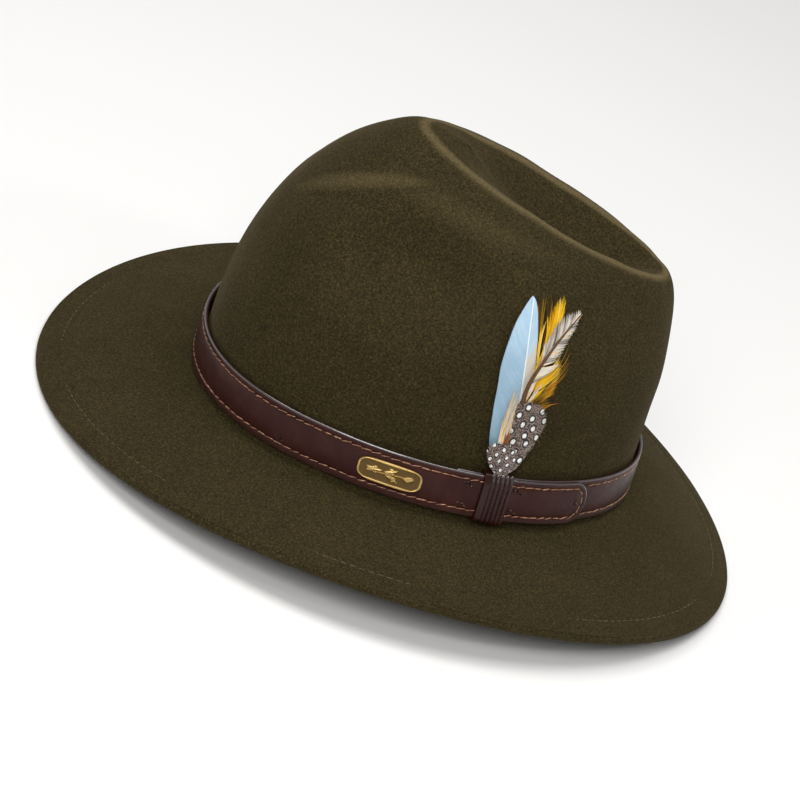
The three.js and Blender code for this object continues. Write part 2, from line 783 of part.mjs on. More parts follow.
function hackleFeather(feather) {
  const taper = feather.quill.map((_, i) => feather.quillHalfWidth * (1 - quillTaper * i));
  const quill = stripAlong(feather, feather.quill, taper);
  const geometry = fuse([quill, ...feather.locks.map((lock) => hackleLock(feather, lock))]);
  return featherMesh(feather, geometry);
}

const group = new THREE.Group();
group.add(feltBody());
group.add(bandStrap());
group.add(keeper());
group.add(badge());
group.add(...featherBlades.map(bladeFeather));
group.add(...hackles.map(hackleFeather));

export default group;
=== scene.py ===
"""The looks of a hunting hat: wool felt, leather strap and keeper, brass plaque and feathers.

Metres, +Z up. The hat's front faces -Y and its wearer's left side +X. It rests on the floor, z = 0.
"""

import math

import bmesh
import bpy
import numpy as np
from mathutils import Matrix, Vector


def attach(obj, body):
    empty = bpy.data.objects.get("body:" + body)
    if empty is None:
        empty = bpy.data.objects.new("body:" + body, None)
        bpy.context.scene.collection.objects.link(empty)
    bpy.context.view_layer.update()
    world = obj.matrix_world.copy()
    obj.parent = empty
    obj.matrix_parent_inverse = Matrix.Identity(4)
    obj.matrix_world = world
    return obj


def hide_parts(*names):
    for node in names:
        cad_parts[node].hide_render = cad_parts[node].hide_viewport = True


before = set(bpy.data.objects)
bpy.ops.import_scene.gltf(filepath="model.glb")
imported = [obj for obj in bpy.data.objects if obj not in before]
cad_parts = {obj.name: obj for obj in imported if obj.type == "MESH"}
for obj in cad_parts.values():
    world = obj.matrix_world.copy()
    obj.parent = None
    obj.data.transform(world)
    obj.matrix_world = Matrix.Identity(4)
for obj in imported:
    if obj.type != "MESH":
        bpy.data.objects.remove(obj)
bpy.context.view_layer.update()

# Camera
# It looks at the wearer's left side of the hat, a little from the front and from above the floor.
# Its direction, distance, tilt and lens give the outline that brim, strap and crown have in the picture.

camera_azimuth = math.radians(77.14)
camera_elevation = math.radians(27.34)
camera_tilt = math.radians(23.05)
camera_distance = 1.7843
camera_target = Vector((0, -0.0051, 0.0321))
camera_lens = 174.86
camera_sensor = 36

camera_back = Vector((
    math.sin(camera_azimuth) * math.cos(camera_elevation),
    -math.cos(camera_azimuth) * math.cos(camera_elevation),
    math.sin(camera_elevation),
))
level_right = Vector((math.cos(camera_azimuth), math.sin(camera_azimuth), 0))
level_up = camera_back.cross(level_right)
camera_right = level_right * math.cos(camera_tilt) + level_up * math.sin(camera_tilt)
camera_up = camera_back.cross(camera_right)

camera_data = bpy.data.cameras.new("camera")
camera_data.lens = camera_lens
camera_data.sensor_width = camera_sensor
camera_data.clip_end = 20
camera = bpy.data.objects.new("camera", camera_data)
camera.matrix_world = (
    Matrix.Translation(camera_target + camera_back * camera_distance)
    @ Matrix((camera_right, camera_up, camera_back)).transposed().to_4x4()
)
bpy.context.scene.collection.objects.link(camera)
bpy.context.scene.camera = camera

# Felt body
# Crown and brim are one piece of thick wool felt, blocked over a wooden form, with a crease along the
# top and a pinch in each side. The brim's edge is turned under once and sewn.

MILLIMETRE = 0.001
felt_thickness = 2.2 * MILLIMETRE
felt_columns = ("front_y", "back_y", "half_width", "egg", "z_front", "z_side", "z_back")
felt_rows = (
    (-171, 171, 153, -1.7, 2.2, 21.7, 2.2),
    (-135, 138, 120.5, -6, 16.2, 26.8, 19),
    (-105, 110.8, 90.8, -9.5, 21.5, 29.6, 26.5),
    (-101, 106.8, 86.8, -9.5, 22, 30, 27.2),
    (-100.8, 106.6, 86.6, -9.5, 30, 38, 35.2),
    (-103.4, 102.4, 79, -9.7, 79.7, 81.7, 77.6),
    (-88, 102.2, 76.4, -4.5, 131.4, 118.2, 90.7),
    (-58, 94.7, 49.2, 0, 161, 144, 123.8),
    (-44.3, 86, 26, 0, 169.2, 155.4, 138.8),
    (-28.5, 72.6, 11.8, 0, 167.3, 141.4, 132.3),
    (-17, 60, 0, 0, 162.5, 135.4, 129.8),
)
felt = dict(zip(felt_columns, np.array(felt_rows).T * MILLIMETRE))
break_row = 3
last_row = len(felt_rows) - 1

# Angles are degrees from the front, the other places and sizes are rows of the table above
dent_columns = ("angle", "row", "front", "back", "up", "down", "tilt", "depth_mm")
dent_rows = (
    (60, 6.2, 33, 42, 0.75, 1.05, 0, 12),
    (30, 6.38, 17, 19, 0.36, 0.36, 0.03, 1.7),
)
dents = [dict(zip(dent_columns, row)) for row in dent_rows]

felt_sample_rows = 0.02
felt_sample_angle = math.radians(1)


def row_points(angle):
    """Points of every felt row at an angle from the front."""
    turn = np.asarray(angle)[..., None]
    middle = (felt["front_y"] + felt["back_y"]) / 2
    reach = (felt["back_y"] - felt["front_y"]) / 2
    tilt = (felt["z_front"] - felt["z_back"]) / 2
    bow = ((felt["z_front"] + felt["z_back"]) / 2 - felt["z_side"]) / 2
    x = felt["half_width"] * np.sin(turn)
    y = middle - reach * np.cos(turn) + felt["egg"] * np.sin(turn) ** 2
    z = felt["z_side"] + bow + tilt * np.cos(turn) + bow * np.cos(2 * turn)
    return np.stack((x, y, z), axis=-1)


def smooth_felt(stop, angle):
    """Outer face without dents: a cubic B-spline steered by the rows, from brim edge to crease."""
    stop, angle = np.broadcast_arrays(stop, angle)
    line = row_points(angle)
    before = 2 * line[..., :1, :] - line[..., 1:2, :]
    after = line[..., -2:-1, :] * (-1, 1, 1)
    steer = np.concatenate((before, line, after), axis=-2)
    span = np.clip(np.floor(stop).astype(int), 0, last_row - 1)
    t = (stop - span)[..., None]
    weights = ((1 - t) ** 3, 3 * t**3 - 6 * t**2 + 4, -3 * t**3 + 3 * t**2 + 3 * t + 1, t**3)
    point = np.zeros(stop.shape + (3,))
    for step, weight in enumerate(weights):
        pick = (span + step)[..., None, None]
        point += weight / 6 * np.take_along_axis(steer, pick, axis=-2)[..., 0, :]
    return point


def unit(vectors):
    return vectors / np.linalg.norm(vectors, axis=-1, keepdims=True)


def outward(surface, stop, angle):
    """Unit normal of a felt surface, away from the head."""
    high = np.clip(stop + felt_sample_rows, 0, last_row - felt_sample_rows)
    low = np.maximum(np.minimum(stop, high) - felt_sample_rows, 0)
    around = surface(high, angle + felt_sample_angle) - surface(high, angle - felt_sample_angle)
    return unit(np.cross(around, surface(high, angle) - surface(low, angle)))


def fold_share(fold, stop, angle):
    """Share of a dent or fold at a place of the felt, from 1 in its middle down to 0."""
    along = np.degrees(np.arccos(np.cos(angle))) - fold["angle"]
    across = stop - fold["row"] - fold["tilt"] * along
    along_share = along / np.where(along < 0, fold["front"], fold["back"])
    across_share = across / np.where(across > 0, fold["up"], fold["down"])
    return np.maximum(0, 1 - along_share**2 - across_share**2)


def dented_felt(stop, angle):
    """Outer face with the dents that are pressed into both sides of the crown."""
    depth = sum(dent["depth_mm"] * MILLIMETRE * fold_share(dent, stop, angle) ** 2 for dent in dents)
    return smooth_felt(stop, angle) - outward(smooth_felt, stop, angle) * depth[..., None]


# The felt is a little uneven, as blocking and wear leave it: waves of a few centimetres, under 0.4 mm high
felt_waves = (
    {"around": 7, "up": 1.3, "phase": 0.4, "height_mm": 0.16},
    {"around": 11, "up": -2.1, "phase": 2.0, "height_mm": 0.12},
    {"around": 17, "up": 2.9, "phase": 4.1, "height_mm": 0.08},
)
hem_width = 11.5 * MILLIMETRE
hem_groove_depth = 0.3 * MILLIMETRE
hem_groove_width = 0.8 * MILLIMETRE
hem_rise = 0.25 * MILLIMETRE


def felt_relief(stop, angle, edge_distance):
    """Height of the fine unevenness and of the sewn groove along the brim."""
    height = sum(
        wave["height_mm"] * MILLIMETRE * np.sin(wave["around"] * angle + wave["up"] * stop + wave["phase"])
        for wave in felt_waves
    )
    across_seam = (edge_distance - hem_width) / hem_groove_width
    groove = -hem_groove_depth * np.exp(-(across_seam**2))
    step = -hem_rise / (1 + np.exp(-2 * across_seam))
    return height + groove + step


# Raised folds are painted paler: brushed wear and a painted highlight along the crease's crest and the dents'
# ridges. Angles are degrees from the front, rows those of the felt's table
wear_columns = ("angle", "row", "front", "back", "up", "down", "tilt", "share")
wear_rows = (
    (110, 8.05, 250, 400, 0.17, 0.28, 0, 0.62),
    (26, 6.56, 24, 22, 0.2, 0.2, 0.031, 0.3),
    (62, 7.08, 40, 45, 0.22, 0.3, 0.006, 0.1),
)
wears = [dict(zip(wear_columns, row)) for row in wear_rows]


def felt_wear(stop, angle):
    """Share of brushed wear and painted highlight at a place of the felt, from 0 to 1."""
    return np.max([fold["share"] * fold_share(fold, stop, angle) for fold in wears], axis=0)


merge_distance = 0.002 * MILLIMETRE


def make_piece(name, points, faces, material, **values):
    """A smooth shaded mesh with named values at its points. Points that meet are merged."""
    mesh = bpy.data.meshes.new(name)
    mesh.from_pydata(np.asarray(points).reshape(-1, 3).tolist(), [], faces)
    for key, value in values.items():
        attribute = mesh.attributes.new(key, "FLOAT", "POINT")
        attribute.data.foreach_set("value", np.asarray(value, np.float32).ravel())
    shell = bmesh.new()
    shell.from_mesh(mesh)
    bmesh.ops.remove_doubles(shell, verts=shell.verts, dist=merge_distance)
    bmesh.ops.recalc_face_normals(shell, faces=shell.faces)
    shell.to_mesh(mesh)
    shell.free()
    mesh.shade_smooth()
    mesh.materials.append(material)
    piece = bpy.data.objects.new(name, mesh)
    bpy.context.scene.collection.objects.link(piece)
    return piece


def grid_faces(across, along, ring_across=False, ring_along=False, first=0):
    """Four-sided faces of a grid of points, numbered along first."""
    rows = np.arange(across if ring_across else across - 1)[:, None]
    columns = np.arange(along if ring_along else along - 1)[None, :]
    next_row = (rows + 1) % across
    next_column = (columns + 1) % along
    corners = (
        rows * along + columns,
        rows * along + next_column,
        next_row * along + next_column,
        next_row * along + columns,
    )
    return (np.stack(corners, axis=-1).reshape(-1, 4) + first).tolist()


def colour(text, alpha=1):
    """Linear colour of an sRGB hex value."""
    values = [int(text[i:i + 2], 16) / 255 for i in (1, 3, 5)]
    linear = [v / 12.92 if v <= 0.04045 else ((v + 0.055) / 1.055) ** 2.4 for v in values]
    return (*linear, alpha)


def add_node(tree, kind, settings=None, inputs=None, stops=()):
    """Adds a node with its settings and colour stops, and fills or links its inputs."""
    node = tree.nodes.new(kind)
    for name, value in (settings or {}).items():
        setattr(node, name, value)
    for name, value in (inputs or {}).items():
        socket = node.inputs[name]
        if isinstance(value, bpy.types.NodeSocket):
            tree.links.new(value, socket)
        else:
            socket.default_value = value
    if stops:
        ramp = node.color_ramp
        while len(ramp.elements) < len(stops):
            ramp.elements.new(1)
        for element, (place, text) in zip(ramp.elements, stops):
            element.position = place
            element.color = colour(text)
    return node


def new_material(name, **surface):
    """A material with its surface shader's fixed values set, and that shader."""
    material = bpy.data.materials.new(name)
    material.use_nodes = True
    shader = material.node_tree.nodes["Principled BSDF"]
    for socket, value in surface.items():
        shader.inputs[socket.replace("_", " ")].default_value = value
    return material, shader


# Brushed wool felt: matt and soft, darker and lighter by turns where the nap lies one way or the other,
# and painted paler on the raised folds, with brushed wear and a painted highlight. Its fibres are too fine to
# show, so their grain is drawn coarser.
felt_nap_size = 0.95 * MILLIMETRE
felt_nap_depth = 0.5 * MILLIMETRE
felt_fibre_size = 0.5 * MILLIMETRE
felt_fibre_depth = 0.25 * MILLIMETRE
felt_fibre_share = 0.8
felt_patch_size = 26 * MILLIMETRE

felt_material, felt_shader = new_material(
    "brushed_wool_felt",
    Roughness=0.92,
    IOR=1.45,
    Specular_IOR_Level=0.2,
    Sheen_Weight=0.12,
    Sheen_Roughness=0.3,
    Sheen_Tint=colour("#cdb47c"),
)
tree = felt_material.node_tree
place = add_node(tree, "ShaderNodeTexCoord").outputs["Object"]
nap = add_node(tree, "ShaderNodeTexNoise", inputs={
    "Vector": place, "Scale": 1 / felt_nap_size, "Detail": 5, "Roughness": 0.72, "Distortion": 0.6,
}).outputs["Fac"]
fibre = add_node(tree, "ShaderNodeTexNoise", inputs={
    "Vector": place, "Scale": 1 / felt_fibre_size, "Detail": 3, "Roughness": 0.7, "Distortion": 1.5,
}).outputs["Fac"]
patch = add_node(tree, "ShaderNodeTexNoise", inputs={
    "Vector": place, "Scale": 1 / felt_patch_size, "Detail": 3, "Roughness": 0.55,
}).outputs["Fac"]
nap_stops = ((0.36, "#251f0d"), (0.5, "#3a3119"), (0.64, "#54492a"))
fibre_stops = ((0.34, "#9c9a84"), (0.6, "#fffff6"))
patch_stops = ((0.3, "#ecece6"), (0.7, "#ffffff"))
nap_colour, fibre_colour, patch_colour = (
    add_node(tree, "ShaderNodeValToRGB", inputs={"Fac": share}, stops=stops).outputs["Color"]
    for share, stops in ((nap, nap_stops), (fibre, fibre_stops), (patch, patch_stops))
)
tinted = add_node(tree, "ShaderNodeMix", {"data_type": "RGBA", "blend_type": "MULTIPLY"}, {
    0: 1.0, 6: nap_colour, 7: patch_colour,
}).outputs[2]
speckled = add_node(tree, "ShaderNodeMix", {"data_type": "RGBA", "blend_type": "MULTIPLY"}, {
    0: felt_fibre_share, 6: tinted, 7: fibre_colour,
}).outputs[2]
# Paler colour on the raised folds: a painted highlight along crest and ridges, mixed with brushed wear
highlight_and_wear_share = add_node(tree, "ShaderNodeAttribute", {"attribute_name": "wear"}).outputs["Fac"]
highlight_and_wear_mix = add_node(tree, "ShaderNodeMath", {"operation": "MULTIPLY"}, {0: highlight_and_wear_share, 1: nap}).outputs["Value"]
felt_colour = add_node(tree, "ShaderNodeMix", {"data_type": "RGBA"}, {
    0: highlight_and_wear_mix, 6: speckled, 7: colour("#9a8760"),
}).outputs[2]
nap_normal = add_node(tree, "ShaderNodeBump", inputs={
    "Strength": 0.55, "Distance": felt_nap_depth, "Height": nap,
}).outputs["Normal"]
fibre_normal = add_node(tree, "ShaderNodeBump", inputs={
    "Strength": 0.6, "Distance": felt_fibre_depth, "Height": fibre, "Normal": nap_normal,
}).outputs["Normal"]
tree.links.new(felt_colour, felt_shader.inputs["Base Color"])
tree.links.new(fibre_normal, felt_shader.inputs["Normal"])

# Rings of points go from the crease down the outer face, round the turned edge and up the inner face
felt_steps_around = 384
outer_steps_by_row = (16, 13, 4, 6, 19, 20, 16, 11, 8, 8)
first_outer_stop = 0.06
crease_fade_rows = 0.5
inner_crown_stops = np.linspace(last_row, 2.6, 44)
inner_brim_stops = np.linspace(2.45, 0.42, 16)
hem_edge_inset = 0.35 * MILLIMETRE
hem_round_reach = 1.8 * MILLIMETRE
hem_round_steps = 8
hem_rest_width = 3.6 * MILLIMETRE
hem_step = 0.7 * MILLIMETRE
edge_sample_stop = 0.5

felt_angles = np.arange(felt_steps_around) * 2 * math.pi / felt_steps_around
inner_stops = np.concatenate((inner_crown_stops, inner_brim_stops))
outer_stops = np.concatenate([
    np.linspace(row, row + 1, steps, endpoint=False) for row, steps in enumerate(outer_steps_by_row)
] + [[last_row]])
outer_stops = np.maximum(outer_stops, first_outer_stop)[::-1]


def under_felt(stop, angle, depth):
    """Point under the outer face by a depth, no lower than the floor."""
    point = dented_felt(stop, angle) - outward(dented_felt, stop, angle) * depth
    point[..., 2] = np.maximum(point[..., 2], 0)
    return point


outer = dented_felt(outer_stops[:, None], felt_angles[None, :])
steps_to_edge = np.linalg.norm(np.diff(outer, axis=0), axis=-1)[::-1]
start = np.linalg.norm(outer[-1] - smooth_felt(0, felt_angles), axis=-1)
edge_distance = np.concatenate((start[None], start + np.cumsum(steps_to_edge, axis=0)))[::-1]
relief = felt_relief(outer_stops[:, None], felt_angles[None, :], edge_distance)
fade = np.clip((last_row - outer_stops[:, None]) / crease_fade_rows, 0, 1)
outer += outward(dented_felt, outer_stops[:, None], felt_angles[None, :]) * (relief * fade)[..., None]


def stop_inside_edge(inset, angle):
    """Place between the felt's rows that lies a length inside the brim's edge."""
    pace = np.linalg.norm(smooth_felt(edge_sample_stop, angle) - smooth_felt(0, angle), axis=-1)
    return edge_sample_stop * inset / pace


rings = list(outer)
for k in range(hem_round_steps + 1):
    turn = math.pi * (0.5 - k / hem_round_steps)
    inset = hem_round_reach * (1 - math.cos(turn)) + hem_edge_inset
    depth = felt_thickness * (1 - math.sin(turn))
    rings.append(under_felt(stop_inside_edge(inset, felt_angles), felt_angles, depth))
for inset, layers in ((hem_rest_width, 2), (hem_width, 2), (hem_width + hem_step, 1)):
    rings.append(under_felt(stop_inside_edge(inset, felt_angles), felt_angles, layers * felt_thickness))
for stop in inner_stops[::-1]:
    rings.append(under_felt(np.full(felt_steps_around, stop), felt_angles, felt_thickness))
rings[0][:, 0] = 0
rings[-1][:, 0] = 0

rings = np.array(rings)
wear = np.zeros(rings.shape[:2])
# Painted highlight and brushed wear on the raised folds of the outer face
wear[:len(outer)] = felt_wear(outer_stops[:, None], felt_angles[None, :])
felt_piece = make_piece(
    "felt_crown_and_brim",
    rings,
    grid_faces(len(rings), felt_steps_around, ring_along=True),
    felt_material,
    wear=wear,
)
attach(felt_piece, "root")
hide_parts("felt_body")

# Seam of the brim
# The turned edge is sewn down with one row of small stitches in olive thread, which sink into the
# nap and show as a faint dashed line.


def path_piece(name, lines):
    """Lines of points, each a dict of places and of named vectors or numbers for every point."""
    mesh = bpy.data.meshes.new(name)
    points = np.concatenate([line["place"] for line in lines])
    edges = []
    first = 0
    for line in lines:
        count = len(line["place"])
        edges += [(first + i, first + i + 1) for i in range(count - 1)]
        first += count
    mesh.from_pydata(points.tolist(), edges, [])
    for key in lines[0]:
        if key == "place":
            continue
        values = np.concatenate([line[key] for line in lines]).astype(np.float32)
        is_vector = values.ndim == 2
        attribute = mesh.attributes.new(key, "FLOAT_VECTOR" if is_vector else "FLOAT", "POINT")
        attribute.data.foreach_set("vector" if is_vector else "value", values.ravel())
    piece = bpy.data.objects.new(name, mesh)
    bpy.context.scene.collection.objects.link(piece)
    return piece


def new_tree(name, inputs):
    """A geometry tree with its named inputs, its group input node and an output node."""
    tree = bpy.data.node_groups.new(name, "GeometryNodeTree")
    tree.interface.new_socket("Geometry", in_out="INPUT", socket_type="NodeSocketGeometry")
    for label, kind in inputs:
        tree.interface.new_socket(label, in_out="INPUT", socket_type="NodeSocket" + kind)
    tree.interface.new_socket("Geometry", in_out="OUTPUT", socket_type="NodeSocketGeometry")
    return tree, add_node(tree, "NodeGroupInput"), add_node(tree, "NodeGroupOutput")


def grow(source, tree, inputs):
    """The mesh that a geometry tree makes of a source, as a plain object. The source is removed."""
    modifier = source.modifiers.new("grow", "NODES")
    modifier.node_group = tree
    for item in tree.interface.items_tree:
        if item.in_out == "INPUT" and item.name in inputs:
            modifier[item.identifier] = inputs[item.name]
    bpy.context.view_layer.update()
    graph = bpy.context.evaluated_depsgraph_get()
    mesh = bpy.data.meshes.new_from_object(source.evaluated_get(graph))
    name = source.name
    bpy.data.objects.remove(source)
    mesh.name = name
    piece = bpy.data.objects.new(name, mesh)
    bpy.context.scene.collection.objects.link(piece)
    return piece


# Stitches along lines: each is a plump thread that dips into the material at both ends
slant_share_from = -0.3
slant_share_to = 1.5
smallest_stitch = (0.86, 0.6, 0.7)
largest_stitch = (1.12, 1.15, 1.1)

stitch_tree, group_in, group_out = new_tree("stitches_along_a_seam", (
    ("Pitch", "Float"), ("Length", "Float"), ("Thread Width", "Float"), ("Slant", "Float"),
    ("Material", "Material"),
))
seam = add_node(stitch_tree, "GeometryNodeMeshToCurve", inputs={"Mesh": group_in.outputs["Geometry"]})
spaced = add_node(stitch_tree, "GeometryNodeResampleCurve", {"mode": "LENGTH"}, {
    "Curve": seam.outputs["Curve"], "Length": group_in.outputs["Pitch"],
})
out_vector = add_node(stitch_tree, "GeometryNodeInputNamedAttribute", {"data_type": "FLOAT_VECTOR"}, {
    "Name": "out",
})
tangent = add_node(stitch_tree, "GeometryNodeInputTangent")
facing = add_node(
    stitch_tree, "FunctionNodeAxesToRotation", {"primary_axis": "X", "secondary_axis": "Z"},
    {"Primary Axis": tangent.outputs["Tangent"], "Secondary Axis": out_vector.outputs["Attribute"]},
)
wobble = add_node(stitch_tree, "FunctionNodeRandomValue", {"data_type": "FLOAT"}, {
    2: slant_share_from, 3: slant_share_to, "Seed": 4,
})
slant = add_node(stitch_tree, "ShaderNodeMath", {"operation": "MULTIPLY"}, {
    0: group_in.outputs["Slant"], 1: wobble.outputs[1],
})
slant_vector = add_node(stitch_tree, "ShaderNodeCombineXYZ", inputs={"Z": slant.outputs["Value"]})
slant_turn = add_node(stitch_tree, "FunctionNodeEulerToRotation", inputs={
    "Euler": slant_vector.outputs["Vector"],
})
turned = add_node(stitch_tree, "FunctionNodeRotateRotation", {"rotation_space": "LOCAL"}, {
    "Rotation": facing.outputs["Rotation"], "Rotate By": slant_turn.outputs["Rotation"],
})
thread = add_node(stitch_tree, "GeometryNodeMeshUVSphere", inputs={"Segments": 7, "Rings": 8, "Radius": 0.5})
stitch_size = add_node(stitch_tree, "ShaderNodeCombineXYZ", inputs={
    "X": group_in.outputs["Thread Width"],
    "Y": group_in.outputs["Thread Width"],
    "Z": group_in.outputs["Length"],
})
long_thread = add_node(stitch_tree, "GeometryNodeTransform", inputs={
    "Geometry": thread.outputs["Mesh"], "Scale": stitch_size.outputs["Vector"],
})
lying_thread = add_node(stitch_tree, "GeometryNodeTransform", inputs={
    "Geometry": long_thread.outputs["Geometry"], "Rotation": (0, math.pi / 2, 0),
})
uneven = add_node(stitch_tree, "FunctionNodeRandomValue", {"data_type": "FLOAT_VECTOR"}, {
    0: smallest_stitch, 1: largest_stitch, "Seed": 9,
})
placed = add_node(stitch_tree, "GeometryNodeInstanceOnPoints", inputs={
    "Points": spaced.outputs["Curve"],
    "Instance": lying_thread.outputs["Geometry"],
    "Rotation": turned.outputs["Rotation"],
    "Scale": uneven.outputs[0],
})
real = add_node(stitch_tree, "GeometryNodeRealizeInstances", inputs={
    "Geometry": placed.outputs["Instances"],
})
rounded = add_node(stitch_tree, "GeometryNodeSetShadeSmooth", inputs={"Geometry": real.outputs["Geometry"]})
finished = add_node(stitch_tree, "GeometryNodeSetMaterial", inputs={
    "Geometry": rounded.outputs["Geometry"], "Material": group_in.outputs["Material"],
})
stitch_tree.links.new(finished.outputs["Geometry"], group_out.inputs["Geometry"])


def thread_material(name, stops, twist_size, detail, coarseness, relief=0.0, relief_strength=0.0, **surface):
    """Thread that is lighter and darker by turns along its twist."""
    material, shader = new_material(name, IOR=1.5, **surface)
    tree = material.node_tree
    place = add_node(tree, "ShaderNodeTexCoord").outputs["Object"]
    twist = add_node(tree, "ShaderNodeTexNoise", inputs={
        "Vector": place, "Scale": 1 / twist_size, "Detail": detail, "Roughness": coarseness,
    }).outputs["Fac"]
    twist_colour = add_node(tree, "ShaderNodeValToRGB", inputs={"Fac": twist}, stops=stops)
    tree.links.new(twist_colour.outputs["Color"], shader.inputs["Base Color"])
    if relief:
        twist_bump = add_node(tree, "ShaderNodeBump", inputs={
            "Strength": relief_strength, "Distance": relief, "Height": twist,
        })
        tree.links.new(twist_bump.outputs["Normal"], shader.inputs["Normal"])
    return material


# Cotton thread dyed to match the felt, a shade lighter than it. Its twist is drawn coarse enough to show
seam_material = thread_material(
    "olive_cotton_thread", ((0.3, "#443b22"), (0.7, "#665b3b")),
    twist_size=0.6 * MILLIMETRE, detail=2, coarseness=0.5,
    relief=0.1 * MILLIMETRE, relief_strength=0.4, Roughness=0.8,
)

seam_points = 720
seam_angles = np.arange(seam_points + 1) * 2 * math.pi / seam_points
seam_stops = stop_inside_edge(hem_width, seam_angles)
seam_sink = 0.42 * MILLIMETRE
seam_out = outward(smooth_felt, seam_stops, seam_angles)
seam_source = path_piece("brim_seam", [{
    "place": smooth_felt(seam_stops, seam_angles) - seam_out * seam_sink, "out": seam_out,
}])
seam_piece = grow(seam_source, stitch_tree, {
    "Pitch": 4.2 * MILLIMETRE,
    "Length": 3.3 * MILLIMETRE,
    "Thread Width": 0.55 * MILLIMETRE,
    "Slant": math.radians(4),
    "Material": seam_material,
})
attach(seam_piece, "root")

# Strap
# One strip of waxed dark brown leather runs round the crown. It starts under the keeper, goes once
# round and laps over its own start, and its rounded end is sewn down behind the keeper.

strap_width = 20.5 * MILLIMETRE
strap_thickness = 1.8 * MILLIMETRE
strap_foot = 2.7 * MILLIMETRE
strap_stand_off = 1.9 * MILLIMETRE
strap_close_stand_off = 0.8 * MILLIMETRE
strap_closing_from = math.radians(8)
strap_closing_to = math.radians(30)
lap_gap = 0.3 * MILLIMETRE
keeper_angle = math.radians(110.3)
strap_start = math.radians(100)
strap_tip = math.radians(498)
strap_rise_from = math.radians(424)
strap_rise_to = math.radians(450)
strap_tip_depth = 9 * MILLIMETRE
strap_middle = strap_foot + strap_width / 2
wall_low_height = 6 * MILLIMETRE
wall_high_height = 21 * MILLIMETRE
wall_search_rounds = 24
wall_search_below = 0.2
wall_search_above = 2.5
wall_sample_angle = math.radians(0.5)


def smoothstep(value, low, high):
    """0 below low, 1 above high and a smooth climb between them."""
    share = np.clip((value - low) / (high - low), 0, 1)
    return share * share * (3 - 2 * share)


def wall_stop(angle, height):
    """Place between the felt's rows of the crown wall at a height above the brim's break."""
    target = row_points(angle)[..., break_row, 2] + height
    low = np.full(np.shape(angle), break_row - wall_search_below)
    high = np.full(np.shape(angle), break_row + wall_search_above)
    for _ in range(wall_search_rounds):
        middle = (low + high) / 2
        below = smooth_felt(middle, angle)[..., 2] < target
        low = np.where(below, middle, low)
        high = np.where(below, high, middle)
    return (low + high) / 2


def wall_point(angle, height):
    """Point of the crown wall at a height above the brim's break."""
    return smooth_felt(wall_stop(angle, height), angle)


def wall_axes(angle):
    """The strap's line up the wall at an angle: its foot, its way up and its way out."""
    low = wall_point(angle, wall_low_height)
    up = unit(wall_point(angle, wall_high_height) - low)
    ahead = wall_point(angle + wall_sample_angle, wall_low_height)
    behind = wall_point(angle - wall_sample_angle, wall_low_height)
    out = unit(np.cross(unit(ahead - behind), up))
    return low - up * (wall_low_height / up[..., 2:]), up, out


def band_point(angle, height, distance):
    """Point beside the wall, at a height up it and a distance off it."""
    foot, up, out = wall_axes(angle)
    return foot + up * np.asarray(height)[..., None] + out * np.asarray(distance)[..., None]


def angle_after(angle, length, distance):
    """Angle that lies a length further round the strap."""
    ahead = band_point(np.asarray(angle + wall_sample_angle), strap_middle, distance)
    behind = band_point(np.asarray(angle - wall_sample_angle), strap_middle, distance)
    return angle + 2 * wall_sample_angle * length / np.linalg.norm(ahead - behind)


def strap_back(angle):
    """Distance of the strap's back off the wall: more at the keeper and where it laps over its start."""
    from_keeper = np.arccos(np.cos(angle - keeper_angle))
    closing = smoothstep(from_keeper, strap_closing_from, strap_closing_to)
    climb = smoothstep(angle, strap_rise_from, strap_rise_to)
    stand_off = strap_stand_off + closing * (strap_close_stand_off - strap_stand_off)
    return stand_off + climb * (strap_thickness + lap_gap)


strap_straight_end = angle_after(strap_tip, -strap_tip_depth, strap_stand_off)
strap_edge_round = 0.55 * MILLIMETRE
stitch_inset = 3.0 * MILLIMETRE
stitch_groove_depth = 0.22 * MILLIMETRE
stitch_groove_width = 0.55 * MILLIMETRE
strap_pad = 0.2 * MILLIMETRE
strap_pad_from = 3.4 * MILLIMETRE
strap_pad_to = 8 * MILLIMETRE
strap_step = math.radians(1)
tip_steps = 26
tip_last_turn = math.radians(88)
tip_gap_share = 1.12
tip_share_limit = 0.9995


def tip_angle(tip_turn):
    """Angle round the crown of a point of the rounded end, where 0 is its start and 90 degrees its tip."""
    return angle_after(strap_straight_end, strap_tip_depth * np.sin(tip_turn), strap_stand_off)


strap_even_angles = np.arange(strap_start, strap_straight_end, strap_step)
tip_turns = np.linspace(0, tip_last_turn, tip_steps)
strap_angles = np.concatenate((strap_even_angles, tip_angle(tip_turns)))
strap_halves = strap_width / 2 * np.concatenate((np.ones(len(strap_even_angles)), np.cos(tip_turns)))

# Distances from an edge where the strap's front has points, close together at its round and its seam
from_edge_mm = (0, 0.04, 0.15, 0.32, 0.55, 0.9, 1.5, 2.0, 2.4, 2.7, 3.0, 3.3, 3.6, 4.1, 5.2, 6.8, 8.6)
shares = np.array(from_edge_mm) * MILLIMETRE / (strap_width / 2) - 1
across_shares = np.concatenate((shares, -shares[::-1]))
front_heights = across_shares[None, :] * strap_halves[:, None]

tip_length = (strap_angles - strap_straight_end) * strap_tip_depth / (strap_tip - strap_straight_end)
tip_share = np.clip(tip_length / strap_tip_depth, 0, tip_share_limit)
edge_gap = strap_halves[:, None] - np.abs(front_heights)
radius_share = np.sqrt((front_heights / (strap_width / 2)) ** 2 + tip_share[:, None] ** 2)
tip_gap = (1 - np.minimum(radius_share, 1)) * strap_tip_depth * tip_gap_share
in_tip = (tip_length > 0)[:, None]
gap = np.where(in_tip, np.minimum(tip_gap, strap_width / 2), edge_gap)
gap = np.maximum(gap, 0)

